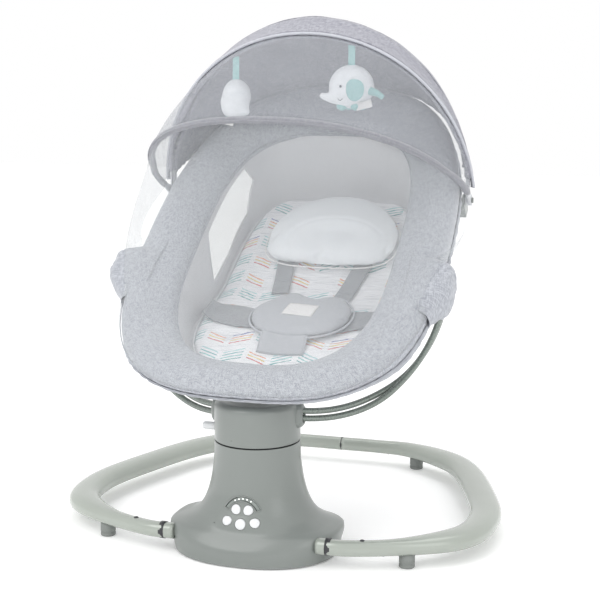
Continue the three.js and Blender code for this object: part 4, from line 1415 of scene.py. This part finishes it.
def webbing(name, path, wide, normalOf, node=None, thick=None, finish="webbing", slot="webbing"):
    # flat strap with selvedges, along a path
    t = (thick or harness["strapThick"]) / 2
    w = wide / 2
    outline = [(-w, -t * 0.7), (-w, t * 0.7), (-w + 1.0, t * 1.25), (-w + 2.2, t), (0, t), (w - 2.2, t),
               (w - 1.0, t * 1.25),
               (w, t * 0.7), (w, -t * 0.7), (w - 1.0, -t * 1.1), (-w + 1.0, -t * 1.1)]
    rows = sections(path, outline, up=normalOf)
    points, faces = capped(rows)
    marks = clothOf(rows) + [(0.0, 0.0)] * 2
    strap = piece(name, points, faces, finish, "seat", slot, [node] if node else (), cloth=marks)
    length = sum((b - a).length for a, b in zip(path, path[1:])) * mm
    return strap


def makeStraps():
    up = onSeat(0, 0, 1) - onSeat(0, 0, 0)
    for side, word, topX, lowX, lowS in ((1, "right", 80, 55, -134), (-1, "left", -58, -40, -112)):
        path = []
        for t in steps(40):
            s = mixed(20, lowS, t)
            x = mixed(topX, lowX, t)
            path.append(onSeat(x, s, floorAt(s) + 16.5 + 2.0 * math.sin(t * math.pi)
                               + wander((s, x, 0), 0.03) * 0.8))
        webbing("shoulder_webbing_" + word, evenly(path, 40), harness["strapWide"], up,
                "shoulder_strap_" + word)
        for k, s in enumerate((lowS + 26, lowS + 30)):
            x = mixed(topX, lowX, 0.8)
            stitch = [onSeat(x + q, s, floorAt(s) + 19.0) for q in steps(10, -9, 9)]
            tubePiece("strap_stitch_%s_%d" % (word, k), stitch, 0.35, "thread", "seat", count=6)


def makeWaist(side, word):
    # broad wings of webbing from the wall to the harness
    rows = []
    for t in steps(34):
        x = side * mixed(128, 46, t)
        centre = mixed(-176, -196, t)
        wide = mixed(40, 62, math.sin(t * math.pi) * 0.6 + t * 0.3)
        row = []
        for q in steps(22, -0.5, 0.5):
            s = centre + q * wide
            climb = 9 * (1 - clamp01(t / 0.2)) ** 2
            fold = 1.6 * math.sin(q * 7 + t * 3) * math.sin(t * math.pi) + wander((x, s, 0), 0.03) * 1.2
            row.append(onSeat(x, s, floorAt(s) + 16.6 + climb + fold))
        rows.append(row)
    wing = piece("waist_wing_" + word, *grid(rows), "webbing", "seat", "webbing", ["waist_strap_" + word],
                 cloth=clothOf(rows))
    thickened(wing, 1.8, 1.0)


def harnessOutline(count=110):
    cx, cs = harness["centre"]
    made = []
    for k in range(count):
        angle = turn * k / count
        c, s = math.cos(angle), math.sin(angle)
        lobe = 13 * math.exp(-((angle - 2.05) / 0.32) ** 2) + 8 * math.exp(-((angle - 1.0) / 0.3) ** 2)
        dip = 9 * math.exp(-((angle - 1.5) / 0.25) ** 2)
        made.append((cx + harness["half"] * power(c, 0.9),
                     cs + harness["deep"] * power(s, 0.95) + (lobe - dip) * (s > 0)))
    return made


def cushion(outline, low, crown, rings=9, edge=0.38):
    # closed domed cushion over the seat's floor, from a plan outline
    middle = Vector((sum(x for x, _ in outline), sum(y for _, y in outline))) / len(outline)
    shares = [math.sin(t * math.pi / 2) for t in steps(rings)]
    rows = []
    for share in shares:
        rows.append([(middle + (Vector(p) - middle) * max(share, 0.01), crown * (1 - share ** 4) ** edge)
                     for p in outline])
    for share in shares[-2::-1]:
        rows.append([(middle + (Vector(p) - middle) * max(share, 0.01), -0.18 * crown * (1 - share ** 4))
                     for p in outline])
    lift = low + 0.18 * crown
    return grid([[onSeat(p.x, p.y, floorAt(p.y) + lift + h) for p, h in row] for row in rows], wrapPoint=True)


def laidOn(made, above):
    # the point on a finished cushion straight below
    down = onSeat(0, 0, -1) - onSeat(0, 0, 0)
    hit, spot, _, _ = made.ray_cast(above * mm, down)
    return spot / mm if hit else above


def makeHarness():
    outline = harnessOutline()
    points, faces = cushion(outline, harness["low"], harness["high"])
    body = piece("harness_body", *fill(points, faces, len(outline)), "harness", None)
    puffed(body, 3.0, 3.0, 3.0, 0)
    markCloth(body, seatCloth)
    dress(body, "harness", "seat", ["harness_pad"])
    edge = [onSeat(x, s, floorAt(s) + harness["low"] + 2.8) for x, s in outline]
    tubePiece("harness_piping", evenly(edge, 150, True), 1.5, "binding", "seat", True)
    left, right = harness["crotch"]
    rows = []
    for t in steps(30):
        s = mixed(-222, harness["crotchEnd"], t)
        bow = 4.0 * math.sin(t * math.pi)
        lower = ease(t) * 9
        height = floorAt(s) + harness["low"] + 5 - lower + bow * 0.6
        rows.append([onSeat(mixed(left, right, q) + 3 * t, s - 3 * math.sin(q * math.pi),
                            height - 1.2 * abs(2 * q - 1) ** 6) for q in steps(20)])
    strap = piece("crotch_strap", *grid(rows), "harness", "seat", "harness_fabric", cloth=clothOf(rows))
    thickened(strap, 3.4)
    for word, x in (("left", left), ("right", right)):
        edge = [onSeat(x + 3 * t, mixed(-224, harness["crotchEnd"], t),
                       floorAt(mixed(-224, harness["crotchEnd"], t)) + harness["low"] + 4.2 - ease(t) * 9
                       + 2.4 * math.sin(t * math.pi)) for t in steps(24)]
        tubePiece("crotch_binding_" + word, edge, 1.2, "binding", "seat")
    corner = Vector((18, -184))
    up = onSeat(0, 0, 1) - onSeat(0, 0, 0)
    lean = math.radians(-5)
    rows = []
    for t in steps(8):
        row = []
        for q in steps(14):
            x, s = 45 * (q - 0.5), 33 * (t - 0.5)
            spot = corner + Matrix.Rotation(lean, 2) @ Vector((x, s))
            row.append(laidOn(body, onSeat(spot.x, spot.y, 40)) + up * (0.7 + 0.3 * math.sin(q * 5)))
        rows.append(row)
    label = piece("plain_label", *grid(rows), "tag", "seat", "plush_white", cloth=clothOf(rows))
    thickened(label, 0.5)


def fill(points, faces, size):
    # closes both small ends of a cushion made of rings
    last = len(points) - size
    return points, faces + [tuple(range(size - 1, -1, -1)), tuple(range(last, last + size))]


makeStraps()
for side, word in ((1, "right"), (-1, "left")):
    makeWaist(side, word)
makeHarness()
print("harness ready")


pillow = {
    "centre": (14, 12), "half": 104, "up": 92, "down": 66, "low": 19.5, "crown": 32,
    "well": (26, -16), "wellHalf": 72, "wellDeep": 46, "wellDepth": 9,
}


def pillowOutline(count=120):
    cx, cs = pillow["centre"]
    made = []
    for k in range(count):
        c, s = math.cos(turn * k / count), math.sin(turn * k / count)
        reach, square = (pillow["up"], 2.1) if s > 0 else (pillow["down"], 3.4)
        narrow = 1 - 0.1 * clamp01(s)
        made.append((cx + pillow["half"] * narrow * power(c, 2 / square), cs + reach * power(s, 2 / square)))
    return made


def wellShare(point):
    place = seatPlace(point)
    return math.hypot((place.x - pillow["well"][0]) / pillow["wellHalf"],
                      (place.y - pillow["well"][1]) / pillow["wellDeep"])


def makePillow():
    outline = pillowOutline()
    points, faces = cushion(outline, pillow["low"], pillow["crown"] * 0.8, 12, 0.5)
    body = piece("pillow_body", *fill(points, faces, len(outline)), "plush", None)
    puffed(body, 5.0, 6.0, 4.0, 1)
    up = onSeat(0, 0, 1) - onSeat(0, 0, 0)
    for vertex in body.data.vertices:
        point = vertex.co / mm
        place = seatPlace(point)
        over = clamp01((place.z - floorAt(place.y) - pillow["low"] - 6) / 8)
        share = wellShare(point)
        sink = pillow["wellDepth"] * (1 - ease(clamp01((share - 0.45) / 0.65)))
        crease = 1.2 * math.exp(-((share - 1.0) / 0.06) ** 2)
        vertex.co -= up * ((sink + crease) * over * mm)
    dress(body, "plush", "seat", ["head_pillow"])
    edge = [onSeat(x, s, floorAt(s) + pillow["low"] + 5) for x, s in outline]
    tubePiece("pillow_seam", evenly(edge, 160, True), 1.1, "tag", "seat", True)


makePillow()
print("pillow ready")


hub = {"s": 17, "n": -19}
bows = {
    "rear": {"half": 226, "reach": 253, "square": 2, "degrees": 123, "tab": 0},
    "mid": {"half": 233, "reach": 242, "square": 2.05, "degrees": 112, "tab": 1},
    "front": {"half": 230, "reach": 300, "square": 2.26, "degrees": 60.4, "tab": 2},
}
canopy = {"across": 96, "margin": 0.075, "tabReach": 44, "sleeve": 4.4, "bulge": 30, "hemGather": 1.6,
          "netOnRim": 0.86}


def bowSpot(bow, angle, grow=0.0, lean=0.0):
    out = (bow["reach"] + grow) * math.sin(angle) ** (2 / bow["square"])
    direction = math.radians(bow["degrees"] + lean)
    return Vector(((bow["half"] + grow) * power(math.cos(angle), 2 / bow["square"]),
                   hub["s"] - out * math.cos(direction),
                   hub["n"] + out * math.sin(direction)))


def blendOfBows(a, b, t):
    return {key: mixed(a[key], b[key], t) for key in a}


def bowPath(bow, grow=0.0):
    start = math.asin(((canopy["tabReach"] - 10) / bow["reach"]) ** (bow["square"] / 2))
    wide = seat["half"] + 2 + bow["tab"] * 2.8 + 1.2
    made = []
    for t in steps(90):
        spot = bowSpot(bow, start + t * (math.pi - 2 * start), grow)
        near = ease(clamp01((1 - abs(2 * t - 1)) * 5))
        spot.x = math.copysign(wide + (abs(spot.x) - wide) * near, 0.5 - t)
        made.append(onSeat(*spot))
    return evenly(made, 110)


def clothAngles():
    return steps(canopy["across"], canopy["margin"], math.pi - canopy["margin"])


def hemSpot(t, grow=7.0, n=4.0):
    angle = math.pi * (0.125 + 0.75 * t)
    outer = rimOuter(angle)
    away = (outer - Vector((0, seat["mid"], 0))).normalized()
    spot = outer + away * grow
    return Vector((spot.x, spot.y, n))


def makeCanopyTop():
    rows = []
    for t in steps(12):
        bow = blendOfBows(bows["mid"], bows["rear"], t)
        sag = math.sin(t * math.pi) * 3.0
        rows.append([onSeat(*bowSpot(bow, angle, mixed(6.5, 9.0, t) - sag, mixed(-1.2, 0.4, t)))
                     for angle in clothAngles()])
    marks = clothOf(rows)
    top = piece("hood_top", *grid(rows), "hood", None, cloth=marks)
    sculpt(top, lambda p: wander(p, 0.02))
    thickened(top, 1.0)
    dress(top, "hood", "canopy_mid", ["canopy_fabric"])


def makeCanopyBack():
    rows = []
    angles = clothAngles()
    count = len(angles)
    for share in steps(34):
        row = []
        for i, angle in enumerate(angles):
            t = i / (count - 1)
            crest = bowSpot(bows["rear"], angle, 9.0, 0.4)
            hem = hemSpot(t)
            bulge = math.sin(share * math.pi) * canopy["bulge"] * math.sin(t * math.pi)
            spot = crest.lerp(hem, share) + Vector((0, bulge, bulge * 0.3))
            gather = ease(clamp01((share - 0.72) / 0.28)) * canopy["hemGather"]
            ruffle = math.sin(i * 1.35 + 3 * noise.noise(Vector((i * 0.1, share, 0)))) * gather
            side = ease(clamp01((abs(2 * t - 1) - 0.72) / 0.28))
            crumple = side * 3.2 * noise.noise(Vector((i * 0.3, share * 9, 5)))
            spot += Vector((math.copysign(ruffle + crumple, spot.x), ruffle * 0.6, 0))
            row.append(onSeat(*spot))
        rows.append(row)
    back = piece("hood_back", *grid(rows), "hood", None, cloth=clothOf(rows))
    sculpt(back, lambda p: wander(p, 0.012) * 2.0 + wander(p, 0.04, 3) * 0.5)
    thickened(back, 1.0)
    dress(back, "hood", None)
    centre = onSeat(0, hub["s"], hub["n"])
    direction = math.radians(bows["rear"]["degrees"])
    backward = onSeat(0, math.sin(direction), math.cos(direction)) - onSeat(0, 0, 0)
    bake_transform(back)
    tubePiece("hood_hem", evenly(rows[-1], 140), 2.0, "sleeve", "seat")


def makeVisor():
    rows = []
    for share in steps(20):
        row = []
        for i, angle in enumerate(clothAngles()):
            start = bowSpot(bows["mid"], angle, 2.0, -1.0)
            end = bowSpot(bows["front"], angle, 2.0, 0.6)
            sag = math.sin(share * math.pi) * 9
            row.append(onSeat(*(start.lerp(end, share) + Vector((0, -sag * 0.5, sag)))))
        rows.append(row)
    visor = piece("visor_sheet", *grid(rows), "visorMesh", None, cloth=clothOf(rows))
    thickened(visor, 0.5)
    dress(visor, "visorMesh", None, ["visor_net"])
    centre = onSeat(0, hub["s"], hub["n"])
    forward = (onSeat(0, -1, 0.02) - onSeat(0, 0, 0)).normalized()
    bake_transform(visor)


def makeInsectNet():
    rows = []
    count = canopy["across"]
    for share in steps(26):
        row = []
        for i, angle in enumerate(clothAngles()):
            t = i / (count - 1)
            start = bowSpot(bows["front"], angle, 1.0, -1.0)
            rimAngle = -math.pi * (0.02 + 0.96 * t)
            outer = rimOuter(rimAngle)
            away = (outer - Vector((0, seat["mid"], 0))).normalized()
            high = outer - away * 24 + Vector((0, 0, 26.5))
            low = outer + away * 1.2 + Vector((0, 0, 4))
            side = ease(clamp01((abs(2 * t - 1) - 0.5) / 0.5))
            drape = math.sin(share * math.pi) * 6 * math.sin(i * 0.9) * side
            over = clamp01((share - canopy["netOnRim"]) / (1 - canopy["netOnRim"]))
            spot = start.lerp(high, clamp01(share / canopy["netOnRim"])).lerp(low, over)
            spot += (away * 5 + Vector((0, 0, 4))) * math.sin(over * math.pi)
            drawn = math.sin(share * math.pi) * ease(clamp01((abs(2 * t - 1) - 0.3) / 0.5))
            spot += Vector((math.copysign(-26 * drawn, spot.x), 0, -12 * drawn))
            row.append(onSeat(*(spot + Vector((math.copysign(drape * 0.4, spot.x), 0, 0)))))
        rows.append(row)
    net = piece("insect_sheet", *grid(rows), "insectMesh", None, cloth=clothOf(rows))
    thickened(net, 0.3)
    dress(net, "insectMesh", "seat", ["insect_net"])
    up = onSeat(0, 0, 1) - onSeat(0, 0, 0)
    onSeat(0, -100, 26) * mm
    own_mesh(net)
    tubePiece("insect_hem", evenly(rows[-1], 160), 0.8, "heather", "seat")


def makeSleeves():
    for name, body, radius, finish in (("rear", "canopy_mid", 4.2, "hood"),
                                       ("mid", "canopy_mid", 4.6, "hood"),
                                       ("front", "canopy_front", 4.9, "sleeve")):
        path = bowPath(bows[name])
        rows = sections(path, lambda t: ringOutline(radius * (1 + 0.03 * math.sin(t * 90)), 14),
                        up=Vector((0, 0, 1)))
        piece(name + "_sleeve", *capped(rows), finish, body, "heather_fabric",
              cloth=clothOf(rows) + [(0.0, 0.0)] * 2)
    edge = [onSeat(*bowSpot(bows["mid"], angle, 5.2, -2.0)) for angle in clothAngles()]
    tubePiece("hood_piping", evenly(edge, 150), 2.1, "binding", "canopy_mid")
    edge = [onSeat(*bowSpot(bows["front"], angle, 4.6, -0.6)) for angle in clothAngles()]
    tubePiece("front_piping", evenly(edge, 150), 1.1, "sleeve", "canopy_front")


makeSleeves()
makeCanopyTop()
makeCanopyBack()
makeVisor()
makeInsectNet()
print("canopy ready")


toys = {
    "loopGap": 6, "right": {"x": 68, "radius": 33, "drop": 57}, "left": {"x": 108, "radius": 25, "drop": 55},
}


def hangPoint(toy):
    across = math.acos((toy["x"] / bows["mid"]["half"]) ** (bows["mid"]["square"] / 2))
    return onSeat(*bowSpot(bows["mid"], across))


def ball(centre, radii, lean=None, count=(28, 18)):
    rows = []
    for j in steps(count[1], -math.pi / 2 + 0.03, math.pi / 2 - 0.03):
        row = []
        for k in range(count[0]):
            a = turn * k / count[0]
            spot = Vector((radii[0] * math.cos(a) * math.cos(j), radii[1] * math.sin(a) * math.cos(j),
                           radii[2] * math.sin(j)))
            row.append(centre + (lean @ spot if lean else spot))
        rows.append(row)
    return capped(rows)


def joined(solids):
    points, faces = [], []
    for more, sides in solids:
        faces += [tuple(i + len(points) for i in side) for side in sides]
        points += more
    return points, faces


def stuffed(name, solids, finish, body, voxel=2.0, replaces=()):
    # several rounded lumps sewn into one stuffed shape
    made = piece(name, *joined(solids), finish, None)
    skin = made.modifiers.new("skin", "REMESH")
    skin.mode = "VOXEL"
    skin.voxel_size = voxel * mm
    soft = made.modifiers.new("soft", "SMOOTH")
    soft.factor = 0.6
    soft.iterations = 9
    settle(made)
    sculpt(made, lambda p: wander(p, 0.11) * 0.5 + wander(p, 0.5, 2) * 0.12)
    dress(made, finish, body, replaces)
    return made


def taper(points, radii, count=20):
    rows = sections(points, ringOutline(1.0, count), up=Vector((0, 1, 0.01)))
    return capped([[point + (p - point) * r for p in row] for point, r, row in zip(points, radii, rows)])


def makeElephant():
    toy = toys["right"]
    at = hangPoint(toy)
    top = at.z - 3 - toys["loopGap"]
    r = toy["radius"]
    c = Vector((toy["x"], at.y, top - toy["drop"]))
    trunk = [c + Vector(p) for p in ((-18, -6, -10), (-26, -8, -13), (-33, -9, -12), (-40, -9, -10),
                                     (-44, -9, -8))]
    lumps = [ball(c + Vector((0, 0, 3)), (r, r * 0.82, r * 0.94)),
             ball(c + Vector((-8, -4, -10)), (20, 19, 16)),
             taper(trunk, [11, 8.5, 6.2, 5.2, 3.8])]
    stuffed("elephant_body", lumps, "plush", "toy_right", replaces=["toy_right"])
    for k, (x, y) in enumerate(((-12, -8), (9, -9), (-6, 9), (14, 8))):
        stuffed("elephant_foot_%d" % (k + 1), [ball(c + Vector((x, y, -24)), (8.5, 8, 6.5), count=(20, 12))],
                "teal",
                "toy_right", 1.6)
    ear = []
    for t in steps(12):
        row = []
        for k in range(30):
            a = turn * k / 30
            share = math.sin(t * math.pi / 2)
            wide, tall = 12.5 * (1 + 0.12 * math.sin(a)), 15.0
            x, z = share * wide * math.cos(a), share * tall * power(math.sin(a), 0.85)
            row.append(c + Vector((12 + x, -r * 0.83 - 3.4 + 2.6 * share ** 3 + 0.018 * x * x, -1 + z)))
        ear.append(row)
    flap = piece("elephant_ear", *grid(ear, wrapPoint=True), "teal", "toy_right", "webbing")
    thickened(flap, 2.2)
    tail = [c + Vector(p) for p in ((24, -6, -2), (34, -8, -4), (42, -9, -7), (49, -9, -12))]
    stuffed("elephant_tail", [taper(evenly(curveThrough(tail), 16), [7 - 0.22 * k for k in range(16)])],
            "teal", "toy_right",
            1.4)
    piece("elephant_eye", *ball(c + Vector((-9, -r * 0.78 - 1.2, 4)), (1.9, 1.3, 2.1), count=(16, 10)),
          "eye", "toy_right",
          "dark_plastic")
    smile = [c + Vector((-12.5 + 7 * t, -r * 0.80 - 2.6 + 1.6 * abs(2 * t - 1),
                         -12.5 - 3.2 * math.sin(t * math.pi)))
             for t in steps(14)]
    tubePiece("elephant_smile", smile, 0.55, "eye", "toy_right", count=8)
    makeTag("elephant_tag", c + Vector((22, -14, -22)), "toy_right", -14, 24)
    makeRibbon("right", at, c.z + r * 0.9, toy["x"])


def makeLeftToy():
    toy = toys["left"]
    at = hangPoint(toy)
    top = at.z - 3 - toys["loopGap"]
    r = toy["radius"]
    c = Vector((-toy["x"], at.y, top - toy["drop"]))
    lumps = [ball(c + Vector((0, 2, 2)), (r * 0.82, r, r)), ball(c + Vector((0, -4, -14)), (21, 20, 17)),
             ball(c + Vector((16, -8, -20)), (8, 8, 6)), ball(c + Vector((-16, -6, -6)), (6, 9, 10))]
    stuffed("round_toy_body", lumps, "plush", "toy_left", replaces=["toy_left"])
    for k, (x, y) in enumerate(((-9, -6), (9, -6), (0, 8))):
        stuffed("round_toy_foot_%d" % (k + 1), [ball(c + Vector((x, y, -30)), (8, 8, 5.5), count=(20, 12))],
                "teal",
                "toy_left", 1.6)
    makeTag("round_toy_tag", c + Vector((-6, -14, -34)), "toy_left", 12, 15)
    makeRibbon("left", at, c.z + r * 0.95, -toy["x"])


def makeTag(name, place, body, lean, wide):
    tilted = Matrix.Rotation(math.radians(lean), 3, "Y")
    rows = [[place + tilted @ Vector((wide * (q - 0.5), -2.2 * math.sin(q * 2.5), 11 * (t - 0.5)))
             for q in steps(12)]
            for t in steps(7)]
    tag = piece(name, *grid(rows), "tag", body, "plush_white", cloth=clothOf(rows))
    thickened(tag, 0.4)


def makeRibbon(word, at, low, x):
    high = at.z - 4.6
    path = [Vector((x, at.y + 0.6 * math.sin(t * 5), mixed(high, low, t))) for t in steps(24)]
    outline = [(-5, -0.35), (-5, 0.35), (5, 0.35), (5, -0.35)]
    rows = sections(path, outline, up=Vector((0, 1, 0)))
    ribbon = piece("ribbon_" + word, *capped(rows), "ribbon", "toy_" + word, "webbing",
                   cloth=clothOf(rows) + [(0.0, 0.0)] * 2)
    rounded(ribbon, 0.15)
    abs(high - low) * mm


makeElephant()
makeLeftToy()
print("toys ready")
